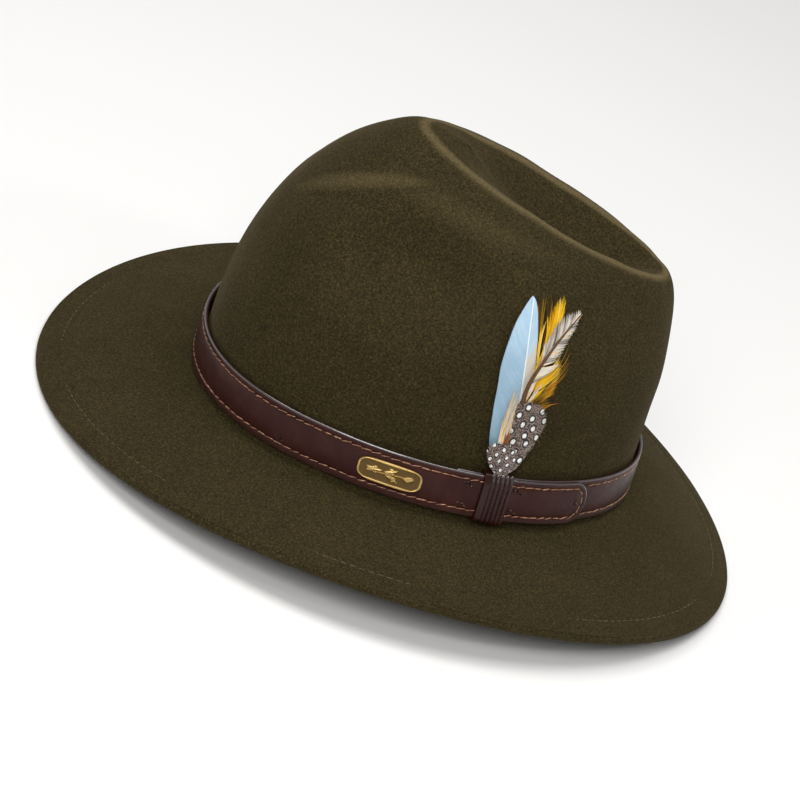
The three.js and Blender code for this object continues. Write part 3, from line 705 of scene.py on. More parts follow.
round_gap = np.minimum(gap, strap_edge_round)
edge_drop = strap_edge_round - np.sqrt(strap_edge_round**2 - (strap_edge_round - round_gap) ** 2)
groove = stitch_groove_depth * np.exp(-(((gap - stitch_inset) / stitch_groove_width) ** 2))
pad = strap_pad * smoothstep(gap, strap_pad_from, strap_pad_to)
front_distances = strap_back(strap_angles)[:, None] + strap_thickness - edge_drop - groove + pad

back_shares = np.array([0.98, 0.5, 0, -0.5, -0.98])
back_heights = back_shares[None, :] * strap_halves[:, None]
back_distances = np.broadcast_to(strap_back(strap_angles)[:, None], back_heights.shape)
strap_heights = strap_middle + np.concatenate((front_heights, back_heights), axis=1)
strap_distances = np.concatenate((front_distances, back_distances), axis=1)
foot, up, out = (part[:, None, :] for part in wall_axes(strap_angles))
strap_points = foot + up * strap_heights[..., None] + out * strap_distances[..., None]

# Waxed bridle leather: a fine grain under a soft shine, redder where it is worn. Only burnished edges,
# marked by the value edge, and the keeper's ribs shine brightly.
leather_grain = 0.5 * MILLIMETRE
leather_grain_depth = 0.1 * MILLIMETRE
leather_cloud = 14 * MILLIMETRE
leather_crease = 2.2 * MILLIMETRE
leather_crease_depth = 0.25 * MILLIMETRE
leather_polish = 0.08
leather_roughening = 0.1
burnish_from = 0.5 * strap_edge_round
burnish_to = 1.5 * strap_edge_round


def leather(name, dark, middle, light, roughness, shine):
    """Bridle leather with its three colours, its roughness and how much its flat parts shine."""
    material, shader = new_material(
        name, Roughness=roughness, IOR=1.5, Coat_Roughness=0.13, Coat_IOR=2.2, Coat_Tint=colour("#e6eaf4"),
    )
    tree = material.node_tree
    place = add_node(tree, "ShaderNodeTexCoord").outputs["Object"]
    cloud = add_node(tree, "ShaderNodeTexNoise", inputs={
        "Vector": place, "Scale": 1 / leather_cloud, "Detail": 4, "Roughness": 0.6,
    }).outputs["Fac"]
    crease = add_node(tree, "ShaderNodeTexNoise", inputs={
        "Vector": place, "Scale": 1 / leather_crease, "Detail": 6, "Roughness": 0.65,
    }).outputs["Fac"]
    grain = add_node(tree, "ShaderNodeTexVoronoi", {"feature": "F1"}, {
        "Vector": place, "Scale": 1 / leather_grain, "Randomness": 1.0,
    }).outputs["Distance"]
    cloud_colour = add_node(tree, "ShaderNodeValToRGB", inputs={"Fac": cloud}, stops=(
        (0.25, dark), (0.5, middle), (0.75, light),
    )).outputs["Color"]
    rough = add_node(tree, "ShaderNodeMapRange", inputs={
        "Value": crease, "From Min": 0.3, "From Max": 0.7,
        "To Min": roughness - leather_polish, "To Max": roughness + leather_roughening,
    }).outputs["Result"]
    crease_normal = add_node(tree, "ShaderNodeBump", inputs={
        "Strength": 0.25, "Distance": leather_crease_depth, "Height": crease,
    }).outputs["Normal"]
    grain_normal = add_node(tree, "ShaderNodeBump", inputs={
        "Strength": 0.18, "Distance": leather_grain_depth, "Height": grain, "Normal": crease_normal,
    }).outputs["Normal"]
    edge = add_node(tree, "ShaderNodeAttribute", {"attribute_name": "edge"}).outputs["Fac"]
    gloss = add_node(tree, "ShaderNodeMapRange", inputs={
        "Value": edge, "To Min": shine, "To Max": 1.0,
    }).outputs["Result"]
    for output, socket in (
        (cloud_colour, "Base Color"), (rough, "Roughness"), (grain_normal, "Normal"),
        (gloss, "Specular IOR Level"), (edge, "Coat Weight"),
    ):
        tree.links.new(output, shader.inputs[socket])
    return material


strap_material = leather(
    "waxed_bridle_leather", "#2b110d", "#371813", "#42221c", roughness=0.34, shine=0.2,
)
strap_sections = strap_points.shape[1]
strap_faces = grid_faces(len(strap_angles), strap_sections, ring_along=True)
strap_faces.append(list(range(strap_sections)))
last_section = (len(strap_angles) - 1) * strap_sections
strap_faces.append([last_section + i for i in reversed(range(strap_sections))])
edge_share = np.zeros(strap_points.shape[:2])
edge_share[:, :gap.shape[1]] = 1 - smoothstep(gap, burnish_from, burnish_to)
strap_piece = make_piece("leather_strap", strap_points, strap_faces, strap_material, edge=edge_share)
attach(strap_piece, "root")
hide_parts("band_strap")

# Strap stitching
# Waxed tan thread runs in a row near each edge of the strap and round its end. Short bars of brown
# thread tack the strap to itself beside the keeper, at the front and in the end.

# Thick waxed thread, pale tan on its worn top and brown between its plies, which are drawn coarser
tan_material = thread_material(
    "waxed_tan_thread", ((0.36, "#4f3325"), (0.47, "#94694b"), (0.6, "#c0936f"), (0.72, "#dfb997")),
    twist_size=1.6 * MILLIMETRE, detail=4, coarseness=0.8,
    relief=0.12 * MILLIMETRE, relief_strength=0.5, Roughness=0.6,
)

thread_sink = 0.1 * MILLIMETRE
row_from = math.radians(140)
row_points_along = 700
round_points = 60
row_angles = np.linspace(row_from, strap_straight_end, row_points_along)
round_turns = np.linspace(0, math.pi, round_points)
round_angles = angle_after(
    strap_straight_end, (strap_tip_depth - stitch_inset) * np.sin(round_turns), strap_stand_off,
)
round_heights = strap_middle - (strap_width / 2 - stitch_inset) * np.cos(round_turns)
seam_line_angles = np.concatenate((row_angles, round_angles[1:-1], row_angles[::-1]))
seam_line_heights = np.concatenate((
    np.full(len(row_angles), strap_foot + stitch_inset),
    round_heights[1:-1],
    np.full(len(row_angles), strap_foot + strap_width - stitch_inset),
))


def on_strap_front(angles, heights, lift):
    """Line of places on the strap's front, with the way out at each."""
    distances = strap_back(angles) + strap_thickness + lift
    return {"place": band_point(angles, heights, distances), "out": wall_axes(angles)[2]}


row_source = path_piece("strap_stitching", [
    on_strap_front(seam_line_angles, seam_line_heights, -stitch_groove_depth + thread_sink),
])
row_piece = grow(row_source, stitch_tree, {
    "Pitch": 4.6 * MILLIMETRE,
    "Length": 4.5 * MILLIMETRE,
    "Thread Width": 0.64 * MILLIMETRE,
    "Slant": math.radians(9),
    "Material": tan_material,
})
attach(row_piece, "root")

# Brown thread, almost black but for its worn fibres
tack_material = thread_material(
    "brown_waxed_thread", ((0.52, "#0d0605"), (0.66, "#8a6456")),
    twist_size=0.8 * MILLIMETRE, detail=2, coarseness=0.5, Roughness=0.75, Specular_IOR_Level=0.2,
)

# Angle round the crown, height up the strap and turn of each bar of thread
tack_columns = ("angle", "height_mm", "turn")
tack_rows = (
    (414.2, 9.2, 20), (415.4, 8.0, -35),
    (463.0, 18.8, 15), (464.0, 17.6, -40), (462.6, 8.8, 15), (463.6, 7.8, -40),
    (475.4, 18.6, 20), (476.4, 17.4, -30), (475.4, 8.6, 20), (476.4, 7.6, -30),
    (494.0, 13.6, 55), (495.0, 12.4, -25),
)
tack_half_length = 0.85 * MILLIMETRE
tack_lift = 0.12 * MILLIMETRE
tack_lines = []
for row in tack_rows:
    tack = dict(zip(tack_columns, row))
    reach = np.linspace(-tack_half_length, tack_half_length, 3)
    turn = math.radians(tack["turn"])
    angles = angle_after(math.radians(tack["angle"]), reach * math.cos(turn), strap_stand_off)
    heights = tack["height_mm"] * MILLIMETRE + reach * math.sin(turn)
    tack_lines.append(on_strap_front(angles, heights, tack_lift))
tack_piece = grow(path_piece("strap_tacks", tack_lines), stitch_tree, {
    "Pitch": 4 * tack_half_length,
    "Length": 2 * tack_half_length,
    "Thread Width": 0.95 * MILLIMETRE,
    "Slant": 0.0,
    "Material": tack_material,
})
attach(tack_piece, "root")

# Keeper
# A loop of the same leather, pressed into five ribs, holds both ends of the strap and the feet of
# the feathers.

keeper_length = 14 * MILLIMETRE
keeper_thickness = 0.984 * MILLIMETRE
keeper_gap = 0.3 * MILLIMETRE
keeper_round = 0.5 * MILLIMETRE
keeper_ribs = 5
keeper_rib_height = 0.99 * MILLIMETRE
keeper_rib_roundness = 0.7
keeper_plain_rise = 0.25
keeper_plain_length = 3 * MILLIMETRE
keeper_edge_round = 0.35 * MILLIMETRE
keeper_edge_share = 0.55
keeper_bend_height = 4.6 * MILLIMETRE
keeper_bend_share = 0.68

keeper_back = strap_stand_off - keeper_gap
keeper_front = strap_stand_off + 2 * strap_thickness + lap_gap + keeper_gap
keeper_low = strap_foot - keeper_gap
keeper_high = strap_foot + strap_width + keeper_gap
corner_columns = ("height", "distance", "start")
corner_rows = (
    (keeper_low + keeper_round, keeper_front - keeper_round, -90),
    (keeper_high - keeper_round, keeper_front - keeper_round, 0),
    (keeper_high - keeper_round, keeper_back + keeper_round, 90),
    (keeper_low + keeper_round, keeper_back + keeper_round, 180),
)
corner_steps = 8
flat_steps = 24
shortest_flat = 2 * MILLIMETRE

# Places of the loop's inner face: height, distance off the wall, and the two parts of the way out
corner_places = []
for row in corner_rows:
    corner = dict(zip(corner_columns, row))
    for k in range(corner_steps + 1):
        turn = math.radians(corner["start"] + 90 * k / corner_steps)
        way = (math.sin(turn), math.cos(turn))
        corner_places.append((
            corner["height"] + keeper_round * way[0], corner["distance"] + keeper_round * way[1], *way,
        ))
loop_places = []
for here, following in zip(corner_places, corner_places[1:] + corner_places[:1]):
    loop_places.append(here)
    if math.dist(here[:2], following[:2]) > shortest_flat:
        for k in range(1, flat_steps):
            share = k / flat_steps
            loop_places.append(tuple((1 - share) * a + share * b for a, b in zip(here, following)))
loop_height, loop_distance, way_up, way_out = np.array(loop_places).T[..., None]

# Thickness over each place: ribs on the front, thinner towards both ends, bent back at the top
keeper_steps = 121
keeper_x = np.linspace(-keeper_length / 2, keeper_length / 2, keeper_steps)
rib_length = (keeper_length - keeper_plain_length) / keeper_ribs
rib_phase = (keeper_x + keeper_length / 2 - keeper_plain_length) / rib_length
rib_wave = np.where(
    rib_phase > 0, np.abs(np.sin(math.pi * rib_phase)) ** keeper_rib_roundness, keeper_plain_rise,
)
rib_share = np.clip(0.5 + way_out, 0, 1)
end_gap = keeper_length / 2 - np.abs(keeper_x)
end_round = np.sqrt(np.clip(1 - (1 - np.minimum(end_gap / keeper_edge_round, 1)) ** 2, 0, 1))
thick = keeper_thickness + rib_share * keeper_rib_height * rib_wave
thick = thick * (keeper_edge_share + (1 - keeper_edge_share) * end_round)
bend = np.clip(1 - (keeper_high - loop_height) / keeper_bend_height, 0, 1) ** 2 * np.clip(way_out, 0, 1)
inner_x = np.array([keeper_length / 2, 0, -keeper_length / 2])
all_x = np.concatenate((keeper_x, inner_x))
all_thick = np.concatenate((thick, np.zeros((len(loop_places), len(inner_x)))), axis=1)
keeper_angles = angle_after(keeper_angle, all_x, strap_stand_off + strap_thickness)
foot, up, out = (part[None, :, :] for part in wall_axes(keeper_angles))
heights = loop_height + way_up * all_thick
distances = loop_distance + (way_out - keeper_bend_share * bend) * all_thick
keeper_points = foot + up * heights[..., None] + out * distances[..., None]

# The tops of the ribs shine most
shiny_wave = 0.7
shiny_share = np.clip((rib_wave - shiny_wave) / (1 - shiny_wave), 0, 1)
rib_top = np.zeros(all_thick.shape)
rib_top[:, :keeper_steps] = shiny_share * np.clip(2 * bend, 0, 1)
keeper_material = leather(
    "pressed_bridle_leather", "#220d0a", "#2e140f", "#3b1d17", roughness=0.24, shine=0.3,
)
keeper_piece = make_piece(
    "ribbed_keeper",
    keeper_points,
    grid_faces(len(loop_places), len(all_x), ring_across=True, ring_along=True),
    keeper_material,
    edge=rib_top,
)
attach(keeper_piece, "root")
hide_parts("keeper_loop")

# Plaque
# A small cast brass plate with a raised rim. An oak sprig with two leaves, a third behind them and an
# acorn stands out of its pebbled ground. Patina stays in the hollows and the high places are rubbed.

plaque_angle = math.radians(84.6)
plaque_half_length = 14.5 * MILLIMETRE
plaque_half_height = 5.25 * MILLIMETRE
plaque_thickness = 1.5 * MILLIMETRE
plaque_rim = 0.9 * MILLIMETRE
plaque_field_depth = 0.6 * MILLIMETRE
plaque_squareness = 0.55
leaf_rise = 0.62 * MILLIMETRE
plaque_field = plaque_thickness - plaque_field_depth

leaf_columns = ("x", "y", "half_length", "half_width", "turn", "lobes")
leaf_rows = (
    (-7.2, 0.3, 4.4, 2.1, 8, 5),
    (0.4, 1.2, 3.8, 1.8, 28, 5),
    (1.6, -1.5, 3.6, 1.6, -24, 5),
    (8.6, 0.4, 2.6, 1.5, 12, 0),
)
leaf_slope = 0.28
lobe_depth = 0.16
midrib_width = 0.1
midrib_rise = 0.2
vein_count = 3
vein_lean = 1.6
vein_sharpness = 4
vein_depth = 0.3
cup_end = -0.1
cup_rise = 1.2
nut_rise = 0.95
scale_rise = 0.12
scale_turn_along = 22
scale_turn_across = 14
stem_half_length = 9.3 * MILLIMETRE
stem_width = 0.33 * MILLIMETRE
stem_sway = 0.5 * MILLIMETRE
stem_sway_length = 4 * MILLIMETRE
stem_rise = 0.6
pebble_size = 0.8 * MILLIMETRE
pebble_rise = 0.04 * MILLIMETRE
plaque_slope = 0.25 * MILLIMETRE
plaque_edge_drop = 0.2 * MILLIMETRE

plaque_rings = 40
plaque_spokes = 240
ring_crowding = 1.5
ring_share = 1 - (1 - np.linspace(0, 1, plaque_rings)) ** ring_crowding
spoke = (np.arange(plaque_spokes) + 0.5) * 2 * math.pi / plaque_spokes
outline_x = np.sign(np.cos(spoke)) * np.abs(np.cos(spoke)) ** plaque_squareness
outline_y = np.sign(np.sin(spoke)) * np.abs(np.sin(spoke)) ** plaque_squareness
flat_x = plaque_half_length * ring_share[:, None] * outline_x[None, :]
flat_y = plaque_half_height * ring_share[:, None] * outline_y[None, :]
edge_gap = np.minimum(plaque_half_length - np.abs(flat_x), plaque_half_height - np.abs(flat_y))
edge_gap = np.minimum(edge_gap, (1 - ring_share[:, None]) * plaque_half_length)
rim = 1 - smoothstep(edge_gap, plaque_rim, plaque_rim + plaque_slope)
pebble_turn = 2 * math.pi / pebble_size
relief = pebble_rise * np.sin(flat_x * pebble_turn) * np.sin(flat_y * pebble_turn)


def leaf_detail(along, across, is_leaf):
    """Relief of a leaf with its midrib and veins, or else of an acorn with its scaly cup."""
    if is_leaf:
        midrib = np.exp(-((across / midrib_width) ** 2))
        vein_turn = (along * vein_count + np.abs(across) * vein_lean) * 2 * math.pi
        veins = np.maximum(0, np.cos(vein_turn)) ** vein_sharpness
        return 1 - vein_depth * veins * (1 - midrib) + midrib_rise * midrib
    scales = np.sin(along * scale_turn_along) * np.sin(across * scale_turn_across)
    return np.where(along < cup_end, cup_rise + scale_rise * scales, nut_rise)


for row in leaf_rows:
    leaf = dict(zip(leaf_columns, row))
    turn = math.radians(leaf["turn"])
    arm_x = flat_x - leaf["x"] * MILLIMETRE
    arm_y = flat_y - leaf["y"] * MILLIMETRE
    along = (arm_x * math.cos(turn) + arm_y * math.sin(turn)) / (leaf["half_length"] * MILLIMETRE)
    across = (arm_y * math.cos(turn) - arm_x * math.sin(turn)) / (leaf["half_width"] * MILLIMETRE)
    lobe_turn = leaf["lobes"] * np.arctan2(across, along) + math.pi
    edge = 1 - lobe_depth * (1 + np.cos(lobe_turn))
    inside = smoothstep(edge - np.hypot(along, across), 0, leaf_slope)
    relief = np.maximum(relief, leaf_rise * inside * leaf_detail(along, across, leaf["lobes"] > 0))
stem_y = flat_y - stem_sway * np.sin(flat_x / stem_sway_length)
stem = np.exp(-((stem_y / stem_width) ** 2)) * (np.abs(flat_x) < stem_half_length)
relief = np.maximum(relief, leaf_rise * stem_rise * stem)
top = plaque_field + np.maximum(relief * (1 - rim), rim * plaque_field_depth)
top = top - (1 - smoothstep(edge_gap, 0, plaque_slope)) * plaque_edge_drop

back_share = np.array([1, 0.5, 0])
all_flat_x = np.concatenate((flat_x, plaque_half_length * back_share[:, None] * outline_x[None, :]))
all_flat_y = np.concatenate((flat_y, plaque_half_height * back_share[:, None] * outline_y[None, :]))
all_top = np.concatenate((top, np.zeros((len(back_share), plaque_spokes))))
plaque_angles = angle_after(plaque_angle, all_flat_x, strap_stand_off + strap_thickness)
plaque_distance = strap_back(plaque_angles + 2 * math.pi) + strap_thickness + lap_gap + all_top
plaque_points = band_point(plaque_angles, strap_middle + all_flat_y, plaque_distance)

# Cast yellow brass: brown patina in the hollows, bare shining metal on the rubbed high places
brass_grain = 0.7 * MILLIMETRE
brass_grain_depth = 0.08 * MILLIMETRE
brass_grain_share = 0.5

brass_material, brass_shader = new_material("antique_cast_brass")
tree = brass_material.node_tree
place = add_node(tree, "ShaderNodeTexCoord").outputs["Object"]
height = add_node(tree, "ShaderNodeAttribute", {"attribute_name": "relief"}).outputs["Fac"]
cast = add_node(tree, "ShaderNodeTexNoise", inputs={
    "Vector": place, "Scale": 1 / brass_grain, "Detail": 5, "Roughness": 0.7,
}).outputs["Fac"]
rubbed = add_node(tree, "ShaderNodeMath", {"operation": "MULTIPLY_ADD"}, {
    0: cast, 1: brass_grain_share, 2: height,
}).outputs["Value"]
brass_colour = add_node(tree, "ShaderNodeValToRGB", inputs={"Fac": rubbed}, stops=(
    (0.3, "#664d22"), (0.55, "#8f6f34"), (0.85, "#b39252"), (1.0, "#d3b271"),
)).outputs["Color"]
brass_roughness = add_node(tree, "ShaderNodeMapRange", inputs={
    "Value": rubbed, "From Min": 0.4, "From Max": 1.1, "To Min": 0.68, "To Max": 0.34,
}).outputs["Result"]
bare_metal = add_node(tree, "ShaderNodeMapRange", inputs={
    "Value": rubbed, "From Min": 0.3, "From Max": 0.8, "To Min": 0.25, "To Max": 1.0,
}).outputs["Result"]
cast_normal = add_node(tree, "ShaderNodeBump", inputs={
    "Strength": 0.35, "Distance": brass_grain_depth, "Height": cast,
}).outputs["Normal"]
for output, socket in (
    (brass_colour, "Base Color"), (brass_roughness, "Roughness"), (bare_metal, "Metallic"),
    (cast_normal, "Normal"),
):
    tree.links.new(output, brass_shader.inputs[socket])

plaque_piece = make_piece(
    "oak_plaque",
    plaque_points,
    grid_faces(len(all_flat_x), plaque_spokes, ring_along=True),
    brass_material,
    relief=np.clip((all_top - plaque_field) / leaf_rise, 0, 1),
)
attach(plaque_piece, "root")
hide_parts("badge")

# Bunch of feathers
# Five feathers stand up from the keeper close to the crown, each a quill with barbs on both sides.
# The bunch has a plane of its own: u runs round the crown, v up from the strap and lift off the felt.

bunch_angle = math.radians(113)
bunch_stop = wall_stop(bunch_angle, strap_foot + strap_width)
bunch_foot = smooth_felt(bunch_stop, bunch_angle)
bunch_out = outward(smooth_felt, bunch_stop, bunch_angle)
bunch_ahead = smooth_felt(bunch_stop, bunch_angle + felt_sample_angle)
bunch_behind = smooth_felt(bunch_stop, bunch_angle - felt_sample_angle)
bunch_up = unit(np.cross(bunch_out, unit((bunch_ahead - bunch_behind) * (1, 1, 0))))
bunch_along = np.cross(bunch_up, bunch_out)
bunch_axes = np.stack((bunch_along, bunch_up, bunch_out))
feather_curl = 3 * MILLIMETRE
feather_curl_length = 85 * MILLIMETRE

# Heights of the felt over that plane, found by Newton's method at the points of a net
net_step = 1.5 * MILLIMETRE
net_u = np.arange(-19, 17) * net_step
net_v = np.arange(-6, 65) * net_step
newton_rounds = 14
newton_sample = 0.01
newton_reach = 0.3
crown_radius = 90 * MILLIMETRE
stops_up_the_crown = 24
net_goal = np.stack(np.meshgrid(net_u, net_v, indexing="ij"), axis=-1)
net_stop = bunch_stop + net_goal[..., 1] * stops_up_the_crown
net_angle = bunch_angle + net_goal[..., 0] / crown_radius


def over_the_bunch(stop, angle):
    return (dented_felt(stop, angle) - bunch_foot) @ bunch_axes.T


for _ in range(newton_rounds):
    here = over_the_bunch(net_stop, net_angle)
    by_stop = (over_the_bunch(net_stop + newton_sample, net_angle) - here) / newton_sample
    by_angle = (over_the_bunch(net_stop, net_angle + newton_sample) - here) / newton_sample
    slopes = np.stack((by_stop[..., :2], by_angle[..., :2]), axis=-1)
    change = np.linalg.solve(slopes, (net_goal - here[..., :2])[..., None])[..., 0]
    change = np.clip(change, -newton_reach, newton_reach)
    net_stop = np.clip(net_stop + change[..., 0], break_row, last_row - 1)
    net_angle = net_angle + change[..., 1]
net_rise = over_the_bunch(net_stop, net_angle)[..., 2]

# Where the felt is looked up, it is looked up just inside the net's last cell at the most
net_last_cell = 1.001


def felt_rise(u, v):
    """Height of the felt over the plane of the bunch."""
    column = np.clip((u - net_u[0]) / net_step, 0, len(net_u) - net_last_cell)
    row = np.clip((v - net_v[0]) / net_step, 0, len(net_v) - net_last_cell)
    i = column.astype(int)
    j = row.astype(int)
    near = net_rise[i, j] * (1 - row + j) + net_rise[i, j + 1] * (row - j)
    far = net_rise[i + 1, j] * (1 - row + j) + net_rise[i + 1, j + 1] * (row - j)
    return near * (1 - column + i) + far * (column - i)


def on_bunch(u, v, lift):
    """Place beside the crown. A feather's tip curls away from the felt."""
    rise = felt_rise(u, v) + lift + feather_curl * (v / feather_curl_length) ** 2
    return bunch_foot + np.stack((u, v, rise), axis=-1) @ bunch_axes


def off_the_bunch(u, v):
    """The way out of the felt under a place of the bunch."""
    by_u = (felt_rise(u + net_step, v) - felt_rise(u - net_step, v)) / (2 * net_step)
    by_v = (felt_rise(u, v + net_step) - felt_rise(u, v - net_step)) / (2 * net_step)
    return unit(bunch_out - by_u[..., None] * bunch_along - by_v[..., None] * bunch_up)


corner_rounds = 3
corner_cut = 0.25


def even_line(points, count):
    """A number of points evenly along a line with rounded corners."""
    line = np.array(points, float)
    for _ in range(corner_rounds):
        first_cuts = (1 - corner_cut) * line[:-1] + corner_cut * line[1:]
        second_cuts = corner_cut * line[:-1] + (1 - corner_cut) * line[1:]
        cuts = np.stack((first_cuts, second_cuts), axis=1).reshape(-1, 2)
        line = np.concatenate((line[:1], cuts, line[-1:]))
    lengths = np.concatenate(([0], np.cumsum(np.linalg.norm(np.diff(line, axis=0), axis=1))))
    wanted = np.linspace(0, lengths[-1], count)
    return np.stack([np.interp(wanted, lengths, line[:, k]) for k in (0, 1)], axis=-1)


barb_steps = 8
quill_steps = 30
shaft_steps = 60
barb_lift_spread = 0.15
barb_roll = 0.12
barb_tip_thinning = 0.9
thinnest_barb = 0.85
thickest_barb = 1.15
lead_climb = 0.15
lead_loss = 0.6
lock_stray = 0.35
line_columns = ("place", "out", "width", "tone", "flat")


def flat_lines(flat_mm, lift_mm, width_mm, tone, roll):
    """Lines of points of the bunch's plane, as a path piece wants them."""
    u, v = flat_mm[..., 0] * MILLIMETRE, flat_mm[..., 1] * MILLIMETRE
    places = on_bunch(u, v, lift_mm * MILLIMETRE)
    outs = off_the_bunch(u, v)
    sides = unit(np.cross(outs, np.gradient(places, axis=1)))
    outs = unit(outs + sides * roll)
    flats = np.stack((u, v, np.zeros_like(u)), axis=-1)
    widths = np.broadcast_to(width_mm * MILLIMETRE, u.shape)
    tones = np.broadcast_to(tone, u.shape)
    return [dict(zip(line_columns, line)) for line in zip(places, outs, widths, tones, flats)]


def barb_lines(
    roots, tips, chance, lift, width, tone, bow, stray, taper, mottle=0.05, camber=0.0, looseness=1.0,
):
    """Barbs from their roots on a quill to their tips. They bow away from the feather's tip."""
    count = len(roots)
    share = np.linspace(0, 1, barb_steps)[None, :]
    arms = tips - roots
    hand = -np.sign(arms[:, 0])
    sides = np.stack((-arms[:, 1], arms[:, 0]), axis=-1) * (hand * bow)[:, None]
    flat = roots[:, None] + arms[:, None] * share[..., None]
    flat = flat + sides[:, None] * (4 * share * (1 - share))[..., None]
    flat = flat + chance.normal(0, stray, (count, 1, 2)) * share[..., None] ** 2
    lifts = lift + chance.uniform(-1, 1, (count, 1)) * looseness * barb_lift_spread - camber * share**2
    widths = width * chance.uniform(thinnest_barb, thickest_barb, (count, 1))
    widths = widths * (1 - barb_tip_thinning * share**taper)
    tones = np.clip(tone + chance.normal(0, mottle, (count, 1)), 0, 1)
    return flat_lines(flat, lifts, widths, tones, chance.normal(0, looseness * barb_roll, (count, 1, 1)))


def quill_line(points, lift, wide, narrow, tone):
    """A quill that tapers from its foot to the feather's tip."""
    flat = even_line(points, quill_steps)[None]
    widths = np.linspace(wide, narrow, quill_steps)[None]
    return flat_lines(flat, np.full((1, quill_steps), lift), widths, tone, 0)


def vane_side(outline, quill, count, rake, chance, **barb):
    """Close barbs from the quill to one edge of a vane. rake is how far a barb's tip is above its root."""
    tips = even_line(outline, count)
    shaft = even_line(quill, shaft_steps)
    share = (tips[:, 1] - tips[0, 1]) / (tips[:, 1].max() - tips[0, 1])
    lead = rake * np.minimum(1, share / lead_climb) * (1 - lead_loss * share**4)
    root_v = np.maximum(tips[:, 1] - lead, shaft[0, 1])
    roots = np.stack((np.interp(root_v, shaft[:, 1], shaft[:, 0]), root_v), axis=-1)
    return barb_lines(roots, tips, chance, **barb)


def lock(row, chance):
    """Loose barbs between a line of roots and a line of tips."""
    count = row["barbs"]
    roots = even_line(row["roots"], count)
    tips = even_line(row["tips"], count)
    tips = roots + (tips - roots) * chance.uniform(row["shortest"], 1, (count, 1))
    tones = np.interp(np.linspace(0, 1, count), np.linspace(0, 1, len(row["tones"])), row["tones"])
    return barb_lines(
        roots, tips, chance, row["lift"], row["width"], tones[:, None],
        bow=row["bow"], stray=lock_stray, taper=2, mottle=row["mottle"],
    )


# Each line becomes a thin strip, as wide as its width says and flat towards its way out
barb_tree, group_in, group_out = new_tree("barbs_of_a_feather", (
    ("Flatness", "Float"), ("Rounded", "Bool"), ("Material", "Material"),
))
barb_curve = add_node(barb_tree, "GeometryNodeMeshToCurve", inputs={"Mesh": group_in.outputs["Geometry"]})
barb_out = add_node(barb_tree, "GeometryNodeInputNamedAttribute", {"data_type": "FLOAT_VECTOR"}, {
    "Name": "out",
})
barb_width = add_node(barb_tree, "GeometryNodeInputNamedAttribute", {"data_type": "FLOAT"}, {
    "Name": "width",
})
barb_facing = add_node(barb_tree, "GeometryNodeSetCurveNormal", {"mode": "FREE"}, {
    "Curve": barb_curve.outputs["Curve"], "Normal": barb_out.outputs["Attribute"],
})
barb_ring = add_node(barb_tree, "GeometryNodeCurvePrimitiveCircle", inputs={"Resolution": 4, "Radius": 0.5})
barb_flatness = add_node(barb_tree, "ShaderNodeCombineXYZ", inputs={
    "X": group_in.outputs["Flatness"], "Y": 1.0, "Z": 1.0,
})
barb_profile = add_node(barb_tree, "GeometryNodeTransform", inputs={
    "Geometry": barb_ring.outputs["Curve"], "Scale": barb_flatness.outputs["Vector"],
})
barb_strip = add_node(barb_tree, "GeometryNodeCurveToMesh", inputs={
    "Curve": barb_facing.outputs["Curve"],
    "Profile Curve": barb_profile.outputs["Geometry"],
    "Scale": barb_width.outputs["Attribute"],
    "Fill Caps": True,
})
real = add_node(barb_tree, "GeometryNodeRealizeInstances", inputs={"Geometry": barb_strip.outputs["Mesh"]})
rounded = add_node(barb_tree, "GeometryNodeSetShadeSmooth", inputs={
    "Geometry": real.outputs["Geometry"], "Shade Smooth": group_in.outputs["Rounded"],
})
finished = add_node(barb_tree, "GeometryNodeSetMaterial", inputs={
    "Geometry": rounded.outputs["Geometry"], "Material": group_in.outputs["Material"],
})
barb_tree.links.new(finished.outputs["Geometry"], group_out.inputs["Geometry"])

barb_flatness_share = 0.35
streak_share = 0.08


def feather_piece(name, lines, material, node, flatness=barb_flatness_share, rounded=True):
    """A feather grown from its lines, in place of its plain node."""
    piece = grow(path_piece(name, lines), barb_tree, {
        "Flatness": flatness, "Rounded": rounded, "Material": material,
    })
    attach(piece, "root")
    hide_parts(node)
    return piece


def vane_material(name, stops, roughness, streak_size):
    """Feather horn: its colour runs along the tone of each barb, broken by fine streaks."""
    material, shader = new_material(name, Roughness=roughness, IOR=1.5, Specular_IOR_Level=0.3)
    tree = material.node_tree
    place = add_node(tree, "ShaderNodeTexCoord").outputs["Object"]
    tone = add_node(tree, "ShaderNodeAttribute", {"attribute_name": "tone"}).outputs["Fac"]
    streak = add_node(tree, "ShaderNodeTexNoise", inputs={
        "Vector": place, "Scale": 1 / streak_size, "Detail": 4, "Roughness": 0.65,
    }).outputs["Fac"]
    varied = add_node(tree, "ShaderNodeMath", {"operation": "MULTIPLY_ADD"}, {
        0: streak, 1: 2 * streak_share, 2: tone,
    }).outputs["Value"]
    centred = add_node(tree, "ShaderNodeMath", {"operation": "SUBTRACT"}, {
        0: varied, 1: streak_share,
    }).outputs["Value"]
    barb_colour = add_node(tree, "ShaderNodeValToRGB", inputs={"Fac": centred}, stops=stops)
    tree.links.new(barb_colour.outputs["Color"], shader.inputs["Base Color"])
    return material


# Goose feather
# The tallest feather, a goose pointer dyed pale blue grey. Its barbs hook together to a smooth closed
# vane, a little teal at the foot and cream beside the quill, which is almost white.

